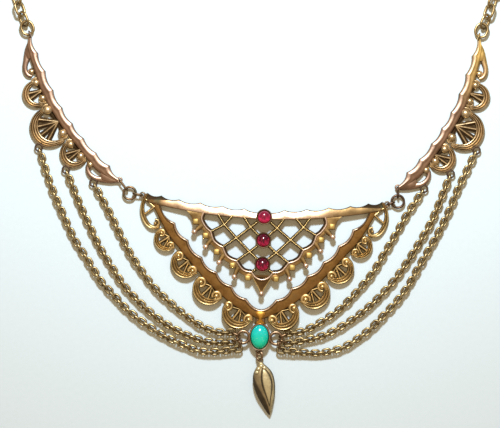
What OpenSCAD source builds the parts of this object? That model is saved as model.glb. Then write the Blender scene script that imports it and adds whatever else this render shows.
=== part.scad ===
/* [Neck chain] */
// Radius of the circle that the neck chain lies on
neck_radius = 59.7; // [58.2:0.5:61.2]
// Length of a neck chain link, outside
neck_link_length = 4.2; // [4:0.1:4.4]
// Width of a neck chain link, outside
neck_link_width = 3.1; // [3:0.1:3.3]
// Diameter of the wire of the neck chain
neck_wire = 0.68; // [0.6:0.02:0.7]

/* [Clasp] */
// Length of the clasp's body
clasp_length = 9; // [8:0.5:10]
// Width of the clasp's body
clasp_width = 5; // [4:0.5:6]
// Height of the clasp's body
clasp_height = 2.4; // [2.2:0.1:2.8]

/* [Plaque] */
// How far the middle of the plaque stands above its corners
plaque_rise = 1; // [0.6:0.1:1.2]
// Turn of the plaque as it lies, in degrees
plaque_turn = -2.2; // [-3:0.1:-1]
// Thickness of the frame at its rim
frame_height = 1.2; // [1:0.05:1.4]
// Diameter of the trellis wires
trellis_wire = 0.5; // [0.4:0.02:0.56]

/* [Stones] */
// Diameter of the three red stones
red_stone = 3; // [2.8:0.05:3.1]
// Height of the red stones above their seats
red_stone_height = 1.35; // [1.1:0.05:1.6]
// Width of the blue-green stone
blue_stone_width = 4.3; // [4:0.1:4.4]
// Length of the blue-green stone
blue_stone_length = 5.8; // [5.5:0.1:6]

/* [Side pieces] */
// Length of a side piece, from its upper eye to its lower eye
side_length = 41; // [40.5:0.25:41.5]
// Thickness of the side pieces
side_height = 1.3; // [1.2:0.05:1.4]

/* [Swags] */
// Diameter of the six fine chains, over their links
swag_width = 1.9; // [1.6:0.1:1.9]
// Diameter of the wire of the fine chains
swag_wire = 0.5; // [0.4:0.05:0.5]

/* [Drop] */
// Length of the drop, from the top of its cap to its tip
drop_length = 12.8; // [12:0.2:13.4]
// Width of the drop
drop_width = 5.2; // [4.8:0.1:5.6]
// Thickness of the drop
drop_height = 3; // [2.6:0.1:3.2]

/* [Hidden] */

gap = 0.12;          // clearance between pieces that hang in each other
fine = 40;           // facets of a circle that is cut as a true round
eye_wire = 0.4;      // wire of the small soldered eyes
eye_radius = 0.55;   // from the middle of an eye to the middle of its wire
lay_height = 0.95;   // height of the rings and eyes above the table
link_wire = 0.45;    // wire of the single links between the pieces
link_height = 1.86;  // outside height of a single link on its edge

// Smooth curves

// Point between b and c on a smooth curve through a, b, c and d
function between(a, b, c, d, t) =
    (2 * b + (c - a) * t + (2 * a - 5 * b + 4 * c - d) * t * t
    + (3 * b - a - 3 * c + d) * t * t * t) / 2;

// Rows of a table with each interval filled by smooth steps
function smooth(rows, steps) = [
    for (i = [0:len(rows) - 2], s = [0:steps - 1])
        between(rows[max(i - 1, 0)], rows[i], rows[i + 1], rows[min(i + 2, len(rows) - 1)], s / steps),
    rows[len(rows) - 1],
];

// Unit direction along a path at point i
function heading(path, i) =
    let (a = path[max(i - 1, 0)], b = path[min(i + 1, len(path) - 1)], d = [b.x - a.x, b.y - a.y])
    d / norm(d);

// Section points [across, up] stood upright on point i of a path
function stood(path, i, section, z = 0) =
    let (d = heading(path, i))
    [for (p = section) [path[i].x - d.y * p.x, path[i].y + d.x * p.x, z + p.y]];

// Round section of a wire
function round_section(d, sides) =
    [for (k = [0:sides - 1]) d / 2 * [cos(360 * k / sides), sin(360 * k / sides)]];

// Closed skin over a row of rings that have the same number of points
module skin(rings) {
    sides = len(rings[0]);
    count = len(rings);
    polyhedron(
        points = [for (ring = rings) each ring],
        faces = [
            [for (j = [0:sides - 1]) j],
            for (i = [0:count - 2], j = [0:sides - 1])
                let (a = i * sides + j, b = i * sides + (j + 1) % sides)
                each [[a, a + sides, b], [b, a + sides, b + sides]],
            [for (j = [sides - 1:-1:0]) (count - 1) * sides + j],
        ],
        convexity = 6
    );
}

// Straight bar between two points
module rod(a, b, d) {
    hull() {
        translate(a) cylinder(d = d, h = d * 0.8, center = true, $fn = 4);
        translate(b) cylinder(d = d, h = d * 0.8, center = true, $fn = 4);
    }
}

// Small ring lying flat, with its middle at the origin
module flat_eye(radius, wire, sides = 10) {
    rotate_extrude($fn = sides) translate([radius, 0]) circle(d = wire, $fn = 5);
}

// Links

// Oval link lying in the X-Y plane, long along X, as a true round wire
module oval_link(length, width, wire) {
    bend = (width - wire) / 2;
    straight = length - width;
    for (side = [-1, 1]) {
        translate([side * straight / 2, 0, 0])
            rotate([0, 0, -90 * side])
                rotate_extrude(angle = 180, $fn = fine) translate([bend, 0]) circle(d = wire, $fn = 24);
        translate([-straight / 2, side * bend, 0])
            rotate([0, 90, 0]) cylinder(d = wire, h = straight, $fn = 24);
    }
}

// Link on its edge from point a to point b, which are the middles of its end wires
module edge_link(a, b, wire = link_wire, height = link_height) {
    run = b - a;
    along = norm([run.x, run.y]);
    translate((a + b) / 2)
        rotate([0, 0, atan2(run.y, run.x)])
            rotate([0, -atan2(run.z, along), 0])
                rotate([90, 0, 0])
                    oval_link(round(50 * (norm(run) + wire)) / 50, height, wire);
}

// Plaque: half widths and heights, in its own frame, X to the right and Y up

plaque_place = [1.8, -52.2];
plaque_half = 30;

// Lift of the arched plaque at a distance from its middle line
function lift(x) = plaque_rise * (1 - pow(min(abs(x) / plaque_half, 1), 2));
function lifted(points) = [for (p = points) [p.x, p.y, p.z + lift(p.x)]];

// Where a point of the plaque lies on the table
function on_plaque(p) =
    [
        plaque_place.x + p.x * cos(plaque_turn) - p.y * sin(plaque_turn),
        plaque_place.y + p.x * sin(plaque_turn) + p.y * cos(plaque_turn),
        p.z + lift(p.x),
    ];

// Points of the frame's inner edge, from the upper corner to the foot: [x, y]
inner_points = [[24.9, 12.4], [21.3, 8.6], [18, 4.6], [14.5, 0.6], [10.8, -2.8], [7.1, -5.9], [3.5, -8.9]];
foot_sag = 2.5;
scallop_sag = 0.75;

// Scallop from a to b, bulging to the left of its run by the given sag
function scallop(a, b, sag, steps) =
    let (d = b - a, n = [d.y, -d.x] / norm(d))
    [for (s = [0:steps - 1]) a + d * s / steps - n * sag * 4 * (s / steps) * (1 - s / steps)];

scallop_steps = 3;
half_edge = [for (i = [0:len(inner_points) - 2])
    each scallop(inner_points[i], inner_points[i + 1], scallop_sag, scallop_steps)];
foot_edge = scallop(inner_points[6], [-inner_points[6].x, inner_points[6].y], foot_sag, 6);
frame_edge = [
    each half_edge,
    each foot_edge,
    [-inner_points[6].x, inner_points[6].y],
    for (i = [len(half_edge) - 1:-1:0]) [-half_edge[i].x, half_edge[i].y],
];

// Points of the frame's outer edge, from the upper corner to the foot: [x, y]
outer_points = [
    [27.8, 14.4], [23.6, 6.7], [20.2, 2.5], [16.4, -1.8], [12.8, -5.6], [8.9, -9], [5.1, -11.6], [0, -14],
];
frame_outer = let (half = smooth(outer_points, 4)) [
    each half,
    for (i = [len(half) - 2:-1:0]) [-half[i].x, half[i].y],
];

// Row i of one path stretched over the count of another
function at_share(path, share) =
    let (f = share * (len(path) - 1), i = min(floor(f), len(path) - 2))
    path[i] + (path[i + 1] - path[i]) * (f - i);

// Section of the frame from its inner edge a to its outer edge b: a rim, a step and a flat face
function frame_section(a, b) =
    let (d = b - a, w = norm(d), n = d / w)
    [for (p = [[w, 0], [w, 0.7], [0.75, 0.78], [0.35, 1], [0, 0.6], [0, 0]])
        [a.x + n.x * p.x, a.y + n.y * p.x, p.y * frame_height]];

module frame_band() {
    count = len(frame_edge);
    skin([for (i = [0:count - 1])
        lifted(frame_section(frame_edge[i], at_share(frame_outer, i / (count - 1))))]);
}

// Points of the top bar's upper edge and its valleys, from the middle out: [x, y]
bar_points = [[0, 12.1], [4.8, 12.6], [10.1, 13], [15.4, 13.6], [20.6, 14.2], [24.9, 15], [28.3, 15.6]];
bar_sag = 0.55;
bar_lower_middle = 10.15;
bar_lower_end = 12.6;
bar_half = [
    for (i = [0:len(bar_points) - 2]) each scallop(bar_points[i], bar_points[i + 1], -bar_sag, 3),
    bar_points[6],
];
bar_edge = [for (i = [len(bar_half) - 1:-1:1]) [-bar_half[i].x, bar_half[i].y], each bar_half];
function bar_lower(x) = bar_lower_middle + (bar_lower_end - bar_lower_middle) * pow(abs(x) / 24.9, 2);

// Section of the top bar below a point of its upper edge: two bevels that meet in a ridge
function bar_section(p) =
    let (low = min(bar_lower(p.x), p.y - 0.5), w = p.y - low)
    [for (q = [[p.y, 0], [p.y, 0.7], [low + w * 0.62, 1.1], [low, 0.65], [low, 0]])
        [p.x, q.x, q.y * frame_height]];

module top_bar() {
    skin([for (p = bar_edge) lifted(bar_section(p))]);
}

// Scrolls

// Section of a scroll's band: a ridge over two upright sides
function scroll_section(w, h) = [[w / 2, 0], [w / 2, 0.6 * h], [0, h], [-w / 2, 0.6 * h], [-w / 2, 0]];

// Curved band round a middle point, of outer radius r, from one angle to another
function scroll_path(middle, r, from, to, width, steps) = [
    for (s = [0:steps])
        let (share = s / steps, a = from + (to - from) * share, w = width * (0.55 + 0.45 * sin(180 * share)))
        [middle.x + (r - w / 2) * cos(a), middle.y + (r - w / 2) * sin(a), w],
];

function scroll_rings(path, height) =
    [for (i = [0:len(path) - 1]) stood(path, i, scroll_section(path[i][2], height))];

// Curl of a scroll: a round boss with sloping sides
module curl(r, height) {
    cylinder(r1 = r, r2 = r * 0.55, h = height * 1.15, $fn = 8);
}

// Frame scrolls on the right half: first curl [x, y], second curl [x, y], outer radius, band width,
// curl radius
frame_scrolls = [
    [[24.5, 6.1], [22.2, 3.1], 2.9, 1.4, 0.9],
    [[20.2, 0.7], [16.7, -2.8], 3.5, 1.8, 1.1],
    [[14.6, -5.4], [10.7, -8.6], 3.8, 2, 1.2],
    [[8, -10.7], [3, -13.6], 3.8, 2.1, 1.2],
];
scroll_height = 1.15;

module frame_scroll(row) {
    run = row[1] - row[0];
    middle = (row[0] + row[1]) / 2;
    facing = atan2(run.y, run.x);
    apex = middle + [run.y, -run.x] / norm(run) * 0.9;
    inner = row[2] - row[3];
    start = facing + 192;
    finish = facing - 12;
    path = scroll_path(middle, row[2], start, finish, row[3], 7);
    skin([for (ring = scroll_rings(path, scroll_height)) lifted(ring)]);
    for (p = [row[0], row[1]]) translate([p.x, p.y, lift(p.x)]) curl(row[4], scroll_height);
    for (a = [facing + 35, facing + 90, facing + 145]) {
        foot = middle + inner * [cos(a), sin(a)];
        rod([apex.x, apex.y, lift(apex.x) + 0.55], [foot.x, foot.y, lift(foot.x) + 0.55], 0.36);
    }
}

// Band of the corner scroll, from the tip of the plaque round its curl: [x, y, width]
corner_rows = [
    [28.3, 15.3, 0.7], [29.1, 13.6, 0.85], [29.4, 11.6, 1], [28.9, 9.4, 1.1], [27.6, 7.7, 1.1],
    [26, 7.3, 0.9], [25.1, 8.1, 0.7],
];
corner_curl = [26, 8.6, 0.85];

module corner_scroll() {
    skin([for (ring = scroll_rings(smooth(corner_rows, 2), scroll_height)) lifted(ring)]);
    translate([corner_curl.x, corner_curl.y, lift(corner_curl.x)]) curl(corner_curl[2], scroll_height);
    rod([28.7, 14, 0.7], [26.6, 12.2, 0.8], 0.36);
    rod([26.6, 12.2, 0.8], [28.7, 10.4, 0.7], 0.36);
}

// Trellis

trellis_height = 1.1;
// Wires of the right half, each a run of [x, y]
trellis_runs = [
    [[11, 10.9], [9.5, 8.6], [6.5, 5.5], [3.2, 2.3], [1.35, 0.75]],
    [[4.8, 10.5], [3.2, 8.2], [1.35, 6.55]],
    [[7.6, 10.8], [9.5, 8.6], [12.7, 6.8]],
    [[1.5, 9.6], [3.2, 8.2], [6.5, 5.5], [9.7, 3.2]],
    [[1.35, 3.85], [3.2, 2.3], [6.3, 0]],
    [[1.45, -1.85], [2.6, -2.5]],
];
// Arches of the trellis's lower edge on the right half, each a run of [x, y]
arch_runs = [
    [[14.6, 11.3], [15, 9.7], [13.9, 7.8], [12.7, 6.8]],
    [[12.7, 6.8], [12, 4.8], [10.8, 3.7], [9.7, 3.2]],
    [[9.7, 3.2], [8.8, 1.3], [7.6, 0.4], [6.3, 0]],
    [[6.3, 0], [4.9, -1.8], [3.8, -2.4], [2.6, -2.5]],
];
middle_arch = [[-2.6, -2.5], [-1.5, -3.8], [0, -4.3], [1.5, -3.8], [2.6, -2.5]];
// Studs and pointed feet below the arches: stud [x, y], ball [x, y]
feet = [
    [[16.4, 9.1], [16.6, 6.6]],
    [[13.9, 5.8], [13.8, 3.1]],
    [[11.1, 2], [10.4, -0.5]],
    [[7.2, -1.1], [6.6, -3.8]],
];
end_stud = [3.4, -4];
end_ball = [0, -7.6];

module trellis_wires() {
    for (run = trellis_runs, i = [0:len(run) - 2]) {
        a = run[i];
        b = run[i + 1];
        rod([a.x, a.y, trellis_height + lift(a.x)], [b.x, b.y, trellis_height + lift(b.x)], trellis_wire);
    }
}

module arch_wire(run) {
    path = smooth(run, 2);
    section = [[0.2, -0.2], [0.2, 0.2], [-0.2, 0.2], [-0.2, -0.2]];
    skin([for (i = [0:len(path) - 1]) lifted(stood(path, i, section, trellis_height))]);
}

// Square stud with four sloping faces
module stud(p) {
    translate([p.x, p.y, lift(p.x) + trellis_height - 0.4])
        rotate([0, 0, 45]) cylinder(d1 = 2, d2 = 0.4, h = 1.05, $fn = 4);
}

// Ball with a flat back, of radius r
module dome(r, height) {
    rotate_extrude($fn = 8)
        polygon([[0, 0], [r, 0], [r * 0.95, height * 0.5], [r * 0.55, height], [0, height]]);
}

module foot_ball(p) {
    translate([p.x, p.y, lift(p.x) + trellis_height - 0.5]) dome(0.48, 0.85);
}

// Flat plate below an arch, drawn out to a pointed foot
module foot_plate(i) {
    arch = smooth(arch_runs[i], 2);
    on_arch = [for (k = [0:3]) at_share(arch, 0.05 + 0.3 * k)];
    stud_at = feet[i][0];
    ball = feet[i][1];
    end = arch_runs[i][3];
    outline = [
        each on_arch,
        end + [0.15, -0.7],
        ball + [-1.3, 1.1],
        ball + [-0.3, 0.1],
        ball + [0.35, 0.1],
        stud_at + [0.65, -0.9],
        stud_at + [0.75, 0.8],
        arch_runs[i][0] + [0.6, -0.1],
    ];
    translate([0, 0, trellis_height - 0.45 + lift(stud_at.x)]) linear_extrude(0.55) polygon(outline);
}

module trellis() {
    for (side = [0, 1]) mirror([side, 0, 0]) {
        trellis_wires();
        for (i = [0:3]) {
            arch_wire(arch_runs[i]);
            foot_plate(i);
            stud(feet[i][0]);
            foot_ball(feet[i][1]);
        }
        stud(end_stud);
        // Seat of the last stud, between the last arch and the middle foot
        rod([2.6, -2.9, trellis_height + 0.8], [3.4, -4, trellis_height + 0.8], 0.7);
    }
    arch_wire(middle_arch);
    translate([0, 0, trellis_height - 0.45 + lift(0)])
        linear_extrude(0.55) polygon([[-2.4, -3.1], [-1.5, -3.9], [0, -4.4], [1.5, -3.9], [2.4, -3.1],
            [1.1, -5.6], [0.25, -7.4], [-0.25, -7.4], [-1.1, -5.6]]);
    foot_ball(end_ball);
}

// Settings

red_stones = [[0, 10.8], [0, 5.2], [0, -0.6]];
seat_height = 1.35;
collet_wall = 0.3;

// Cup that holds a round stone
module collet(p) {
    radius = red_stone / 2 + gap + collet_wall;
    translate([p.x, p.y, lift(p.x)]) difference() {
        translate([0, 0, 0.3]) cylinder(r = radius, h = seat_height + 0.3, $fn = 14);
        translate([0, 0, seat_height]) cylinder(r = red_stone / 2 + gap, h = 2, $fn = 14);
    }
}

blue_place = [0, -18];
bezel_wall = 0.3;
bezel_height = 1.35;
bezel_floor = 0.5;
ring_reach = 3.95;      // from the bezel's middle to the middle of a chain ring
chain_ring = 1.5;       // from the middle of a chain ring to the middle of its wire
chain_ring_height = 0.55;
drop_eye_drop = 3.62;   // from the bezel's middle down to the middle of its eye

// Oval cup that holds the blue-green stone, with a ring on each side and an eye below
module bezel() {
    wide = blue_stone_width / 2 + gap;
    long = blue_stone_length / 2 + gap;
    translate([blue_place.x, blue_place.y, lift(blue_place.x)]) {
        difference() {
            scale([wide + bezel_wall, long + bezel_wall, 1]) cylinder(r = 1, h = bezel_height, $fn = 20);
            translate([0, 0, bezel_floor]) scale([wide, long, 1]) cylinder(r = 1, h = 2, $fn = 20);
        }
        for (side = [-1, 1])
            translate([side * ring_reach, -0.2, chain_ring_height]) flat_eye(chain_ring, eye_wire);
        translate([0, -drop_eye_drop, chain_ring_height]) flat_eye(eye_radius, eye_wire);
        translate([-1.2, 3.1, 0]) cube([2.4, 1.3, 0.9]);
    }
}

corner_eye = [29.4, 15, lay_height];

module plaque_parts() {
    frame_band();
    top_bar();
    for (side = [0, 1]) mirror([side, 0, 0]) {
        corner_scroll();
        for (row = frame_scrolls) frame_scroll(row);
        translate(corner_eye) flat_eye(eye_radius, eye_wire);
    }
    trellis();
    for (p = red_stones) collet(p);
    bezel();
    // Boss at the foot of the frame
    hull() {
        translate([0, -12.2, lift(0) + 0.4]) cylinder(r = 0.8, h = 0.9, $fn = 8);
        translate([0, -14.2, lift(0) + 0.3]) cylinder(r = 0.45, h = 0.6, $fn = 8);
    }
}

module plaque() {
    color("#9a6a35") translate(plaque_place) rotate([0, 0, plaque_turn]) plaque_parts();
}

// Stones

// Domed stone, unit radius, standing on its flat back
module domed(radius, height) {
    cap = height * 0.7;
    ball = (radius * radius + cap * cap) / (2 * cap);
    intersection() {
        cylinder(r = radius, h = height + 1, $fn = fine);
        translate([0, 0, height - ball]) sphere(r = ball, $fn = fine);
    }
}

module red_stone_at(i) {
    p = red_stones[i];
    at = on_plaque([p.x, p.y, seat_height + gap]);
    color("#b01238") translate(at) domed(red_stone / 2, red_stone_height);
}
module red_stone_top() { red_stone_at(0); }
module red_stone_middle() { red_stone_at(1); }
module red_stone_bottom() { red_stone_at(2); }

blue_stone_height = 1.9;
// Levels of the blue-green stone: [share of its size, share of its height]
blue_levels = [[0.96, 0], [1, 0.15], [0.98, 0.35], [0.88, 0.62], [0.68, 0.82], [0.38, 0.96], [0.1, 1]];
module blue_stone() {
    at = on_plaque([blue_place.x, blue_place.y, bezel_floor + gap]);
    color("#12b8a8") translate(at) rotate([0, 0, plaque_turn])
        skin([for (level = blue_levels) [for (k = [0:17])
            [blue_stone_width / 2 * level[0] * cos(20 * k), blue_stone_length / 2 * level[0] * sin(20 * k),
                blue_stone_height * level[1]]]]);
}

// Side pieces, drawn for the left side with their tip at the origin, X to the right and Y up

side_drawn = 41.6;
side_fit = side_length / side_drawn;
side_upper_eye = [0.2, 0.9];
side_lower_eye = [22, -34.6];
// Points of the inner edge: [x, y]
side_inner = [
    [0.5, 0.4], [2.1, -3.7], [3.9, -8.1], [5.8, -12.7], [8, -17], [10.5, -20.8], [13.2, -24.4],
    [16.3, -28], [19.6, -31.1], [21.8, -34.2],
];
// Points of the outer edge: [x, y]
side_outer = [
    [-0.2, 0.3], [-0.5, -2.6], [0.3, -5.4], [1.9, -10.2], [3.3, -14], [5.2, -17.4], [7.6, -21.2],
    [9.2, -23.4], [10.9, -25.6], [13.8, -29.2], [16.4, -31.9], [21.4, -35.1],
];
side_sag = 0.5;
side_edge = [
    each [for (i = [0:len(side_inner) - 2]) each scallop(side_inner[i], side_inner[i + 1], -side_sag, 3)],
    side_inner[9],
];

// Section of a side piece from its inner edge a to its outer edge b: a bevelled rim and a flat face
function side_section(a, b) =
    let (d = b - a, w = norm(d), n = d / w, rim = min(0.9, w * 0.45))
    [for (p = [[0, 0], [0, 0.5], [rim * 0.4, 1], [rim, 0.9], [w, 0.72], [w, 0]])
        [a.x + n.x * p.x, a.y + n.y * p.x, p.y * side_height]];

module side_band() {
    count = len(side_edge);
    outer = smooth(side_outer, 3);
    skin([for (i = [0:count - 1]) side_section(side_edge[i], at_share(outer, i / (count - 1)))]);
}

// Fans of the side pieces: middle [x, y], outer radius, from angle, to angle, band width,
// meeting point of the ribs [x, y], rib angles
side_fans = [
    [[1.6, -13.7], 3.4, 95, 305, 1.8, [3.2, -12.7], [175, 220]],
    [[5, -21.8], 5, 105, 318, 2.2, [7.3, -20], [155, 182, 209, 236, 263]],
    [[10.8, -28.3], 3.5, 120, 340, 1.9, [12.6, -27.2], [180, 230]],
];
// Balls of the side pieces: [x, y, radius]
side_balls = [
    [0.5, -8.3, 0.9], [1.6, -10.9, 1.1], [3.2, -14.7, 1.1], [4.4, -17.6, 1.35],
    [8.1, -23.2, 1.3], [10, -26, 1.15], [12.5, -28.8, 1.15], [14.6, -30.6, 0.95],
];
// Bands of the two end leaves: [x, y, width]
upper_leaf = [[-0.2, -1.6, 0.8], [-0.6, -3.7, 1.7], [-1, -6.1, 1.2], [-0.7, -8.1, 1.1], [0.6, -9.2, 1]];
lower_leaf = [
    [14.2, -30.6, 0.9], [14.4, -32.4, 1.1], [15.7, -33.8, 1.4], [18, -34.1, 2.2], [20.6, -34.7, 1.3],
];
// Middles of the loops that the fine chains hang from: [x, y]
side_loops = [[2.3, -26.7], [8.9, -32.1], [15.6, -35.3]];
loop_radius = 0.85;

module side_fan(row) {
    path = scroll_path(row[0], row[1], row[2], row[3], row[4], 8);
    skin(scroll_rings(path, side_height * 0.95));
    for (a = row[6]) {
        tip = row[0] + (row[1] - row[4]) * [cos(a), sin(a)];
        rod([row[5].x, row[5].y, 0.6], [tip.x, tip.y, 0.6], 0.42);
    }
}

module side_piece() {
    side_band();
    for (row = side_fans) side_fan(row);
    for (leaf = [upper_leaf, lower_leaf]) skin(scroll_rings(smooth(leaf, 2), side_height * 0.9));
    for (b = side_balls) translate([b.x, b.y, 0.05]) dome(b[2], 1.55 * b[2]);
    for (p = side_loops) translate([p.x, p.y, lay_height]) flat_eye(loop_radius, eye_wire);
    translate([side_upper_eye.x, side_upper_eye.y, neck_lay])
        rotate([0, 90, 20]) flat_eye(0.75, link_wire);
    translate([side_lower_eye.x, side_lower_eye.y, lay_height]) flat_eye(eye_radius, eye_wire);
}

// Where the neck chain starts on each side: degrees below the level of its circle
neck_middle = [0, 28];
left_start = 23.7;
right_start = 24.35;
top_ring_length = 4;
top_ring_width = 3.5;

function on_neck(angle) = neck_middle + neck_radius * [cos(angle), sin(angle)];
left_ring_at = on_neck(180 + left_start);
right_ring_at = on_neck(-right_start);
top_ring_half = (top_ring_length - neck_wire) / 2;
left_eye_at = left_ring_at + top_ring_half * [sin(left_start), -cos(left_start)];
right_eye_at = right_ring_at + top_ring_half * [-sin(right_start), -cos(right_start)];
right_side_turn = 3.3;

// Where a point of a side piece lies on the table
function on_left(p) = left_eye_at + side_fit * [p.x - side_upper_eye.x, p.y - side_upper_eye.y];
function on_right(p) =
    let (q = side_fit * [side_upper_eye.x - p.x, p.y - side_upper_eye.y])
    right_eye_at + [q.x * cos(right_side_turn) - q.y * sin(right_side_turn),
        q.x * sin(right_side_turn) + q.y * cos(right_side_turn)];

module side_piece_left() {
    color("#a97a4c") translate(left_eye_at) scale([side_fit, side_fit, 1])
        translate(-side_upper_eye) side_piece();
}
module side_piece_right() {
    color("#a97a4c") translate(right_eye_at) rotate([0, 0, right_side_turn]) scale([-side_fit, side_fit, 1])
        translate(-side_upper_eye) side_piece();
}

// Rings and links between the side pieces and the plaque

jump_ring_radius = 1.48;
jump_wire = 0.6;
left_jump_at = [-30.1, -35.7];
right_jump_at = [34.3, -37.7];
// From the middle of a jump ring to the middle of a link's wire inside it
jump_hold = jump_ring_radius - jump_wire / 2 - gap - link_wire / 2;

function flat(p) = [p.x, p.y];
function at_height(p, z) = [p.x, p.y, z];
function toward(a, b) = (b - a) / norm(b - a);

// Link on its edge from an eye into a jump ring
module joining_link(eye, jump) {
    inside = jump + jump_hold * toward(jump, eye);
    edge_link(at_height(eye, lay_height), at_height(inside, lay_height));
}

// Ring of true round wire, lying flat
module round_ring(p, radius, wire) {
    translate([p.x, p.y, lay_height])
        rotate_extrude($fn = fine) translate([radius, 0]) circle(d = wire, $fn = 24);
}

module side_link_left() { color("#8a6a45") joining_link(on_left(side_lower_eye), left_jump_at); }
module jump_ring_left() { color("#b08f74") round_ring(left_jump_at, jump_ring_radius, jump_wire); }
module corner_link_left() {
    color("#8a6a45") joining_link(flat(on_plaque([-corner_eye.x, corner_eye.y, 0])), left_jump_at);
}
module side_link_right() { color("#8a6a45") joining_link(on_right(side_lower_eye), right_jump_at); }
module jump_ring_right() { color("#b08f74") round_ring(right_jump_at, jump_ring_radius, jump_wire); }
module corner_link_right() {
    color("#8a6a45") joining_link(flat(on_plaque([corner_eye.x, corner_eye.y, 0])), right_jump_at);
}

// Swags: fine chains from the side pieces to the rings beside the blue-green stone

swag_link_length = 2.5;
swag_rest = swag_width / 2;
// Route of each chain along the table: [x, y]
route_left_outer = [
    [-49, -33.8], [-46.6, -39.6], [-43.4, -46.6], [-40.3, -51.5], [-36.9, -56.9], [-33.6, -60.5],
    [-30.4, -63.9], [-26.7, -66.8], [-22.4, -69.6], [-17.9, -71.8], [-12, -73.8],
];
route_left_middle = [
    [-41.7, -39.2], [-39.5, -44], [-37.2, -48.8], [-34.5, -53.2], [-31.5, -57.8], [-28, -61.6],
    [-24.1, -65.1], [-20.2, -67.8], [-15.5, -70.1], [-10.9, -71.4],
];
route_left_inner = [
    [-34.9, -40.4], [-32.6, -45.1], [-30.1, -49.9], [-27.3, -54.2], [-24.2, -58.3], [-20.5, -61.8],
    [-16.5, -65.1], [-12.6, -67.7], [-8.8, -69],
];
route_right_inner = [
    [36.4, -41], [33.9, -45.4], [31, -50.3], [28.1, -55], [24.6, -59.2], [20.7, -63.2], [16.2, -66.4],
    [11.8, -68.7],
];
route_right_middle = [
    [42.6, -42], [39.9, -46.8], [37.2, -51.2], [34, -55.9], [30.6, -59.8], [26.6, -63.6], [22.2, -66.8],
    [17.8, -69.3], [13.8, -70.6],
];
route_right_outer = [
    [48.7, -34.8], [46.8, -39.5], [44.5, -44.3], [41.9, -49], [39.2, -53.6], [37, -57.6], [34.5, -61.1],
    [31, -64.9], [27.2, -68.7], [22.2, -72.2], [18.6, -73.5], [14.4, -74.1],
];

// Directions in which the chains leave the rings beside the blue-green stone: outer, middle, inner
left_leave = [246, 202, 158];
right_leave = [-66, -22, 22];
eye_flat = cos(18);     // a ten-sided eye is this much nearer at its flats
side_hold = loop_radius * eye_flat - eye_wire / 2 - gap - swag_wire / 2;
ring_hold = chain_ring * eye_flat - eye_wire / 2 - gap - swag_wire / 2;
end_reach = swag_link_length - swag_wire;
tube_start = end_reach + swag_wire / 2 + gap;
ring_tube_start = tube_start + 0.5;

left_ring = on_plaque([-ring_reach, blue_place.y - 0.2, chain_ring_height]);
right_ring = on_plaque([ring_reach, blue_place.y - 0.2, chain_ring_height]);
function ring_leave(angle) = [cos(angle), sin(angle)];

// First link of a chain, through the loop of a side piece
module side_end_link(loop, route) {
    d = toward(loop, route[0]);
    near = loop + d * side_hold;
    far = loop + d * (side_hold + end_reach);
    edge_link(at_height(near, lay_height), at_height(far, lay_height), swag_wire, swag_width);
}

// Last link of a chain, through a ring beside the blue-green stone
module ring_end_link(ring, angle) {
    d = ring_leave(angle);
    near = flat(ring) + d * ring_hold;
    far = flat(ring) + d * (ring_hold + end_reach);
    edge_link(at_height(near, ring.z), at_height(far, ring.z - 0.3), swag_wire, swag_width);
}

// Body of a chain between its first and last links
module swag(loop, route, ring, angle) {
    first = loop + toward(loop, route[0]) * (side_hold + tube_start);
    last = flat(ring) + ring_leave(angle) * (ring_hold + ring_tube_start);
    points = [
        at_height(first, lay_height),
        for (p = route) at_height(p, lay_height),
        at_height(last, ring.z - 0.35),
    ];
    section = round_section(swag_width, 8);
    skin([for (i = [0:len(points) - 1]) stood(points, i, section, points[i].z)]);
}

module swag_left_outer() {
    color("#8f7a3c") swag(on_left(side_loops[0]), route_left_outer, left_ring, left_leave[0]);
}
module swag_left_middle() {
    color("#8f7a3c") swag(on_left(side_loops[1]), route_left_middle, left_ring, left_leave[1]);
}
module swag_left_inner() {
    color("#8f7a3c") swag(on_left(side_loops[2]), route_left_inner, left_ring, left_leave[2]);
}
module swag_right_outer() {
    color("#8f7a3c") swag(on_right(side_loops[0]), route_right_outer, right_ring, right_leave[0]);
}
module swag_right_middle() {
    color("#8f7a3c") swag(on_right(side_loops[1]), route_right_middle, right_ring, right_leave[1]);
}
module swag_right_inner() {
    color("#8f7a3c") swag(on_right(side_loops[2]), route_right_inner, right_ring, right_leave[2]);
}

module swag_links_left_side() {
    color("#8f7a3c") {
        side_end_link(on_left(side_loops[0]), route_left_outer);
        side_end_link(on_left(side_loops[1]), route_left_middle);
        side_end_link(on_left(side_loops[2]), route_left_inner);
    }
}
module swag_links_right_side() {
    color("#8f7a3c") {
        side_end_link(on_right(side_loops[0]), route_right_outer);
        side_end_link(on_right(side_loops[1]), route_right_middle);
        side_end_link(on_right(side_loops[2]), route_right_inner);
    }
}
module swag_links_left_ring() { color("#8f7a3c") for (a = left_leave) ring_end_link(left_ring, a); }
module swag_links_right_ring() { color("#8f7a3c") for (a = right_leave) ring_end_link(right_ring, a); }

// Drop

drop_turn = 10;
bezel_eye = on_plaque([0, blue_place.y - drop_eye_drop, chain_ring_height]);
drop_link_run = 2;
drop_eye = [bezel_eye.x + 0.25, bezel_eye.y - drop_link_run, 1.35];

module drop_link() { color("#8a6a45") edge_link(bezel_eye, drop_eye, link_wire, 1.7); }

// Outline of the drop below its eye: [share of its length, share of its half width, share of its height]
drop_rows = [
    [0, 0.2, 0.34], [0.05, 0.32, 0.5], [0.1, 0.52, 0.66], [0.18, 0.8, 0.86], [0.28, 0.97, 0.97],
    [0.4, 1, 1], [0.52, 0.93, 0.96], [0.66, 0.76, 0.82], [0.8, 0.52, 0.62], [0.92, 0.28, 0.42],
    [1, 0.1, 0.24],
];
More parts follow.
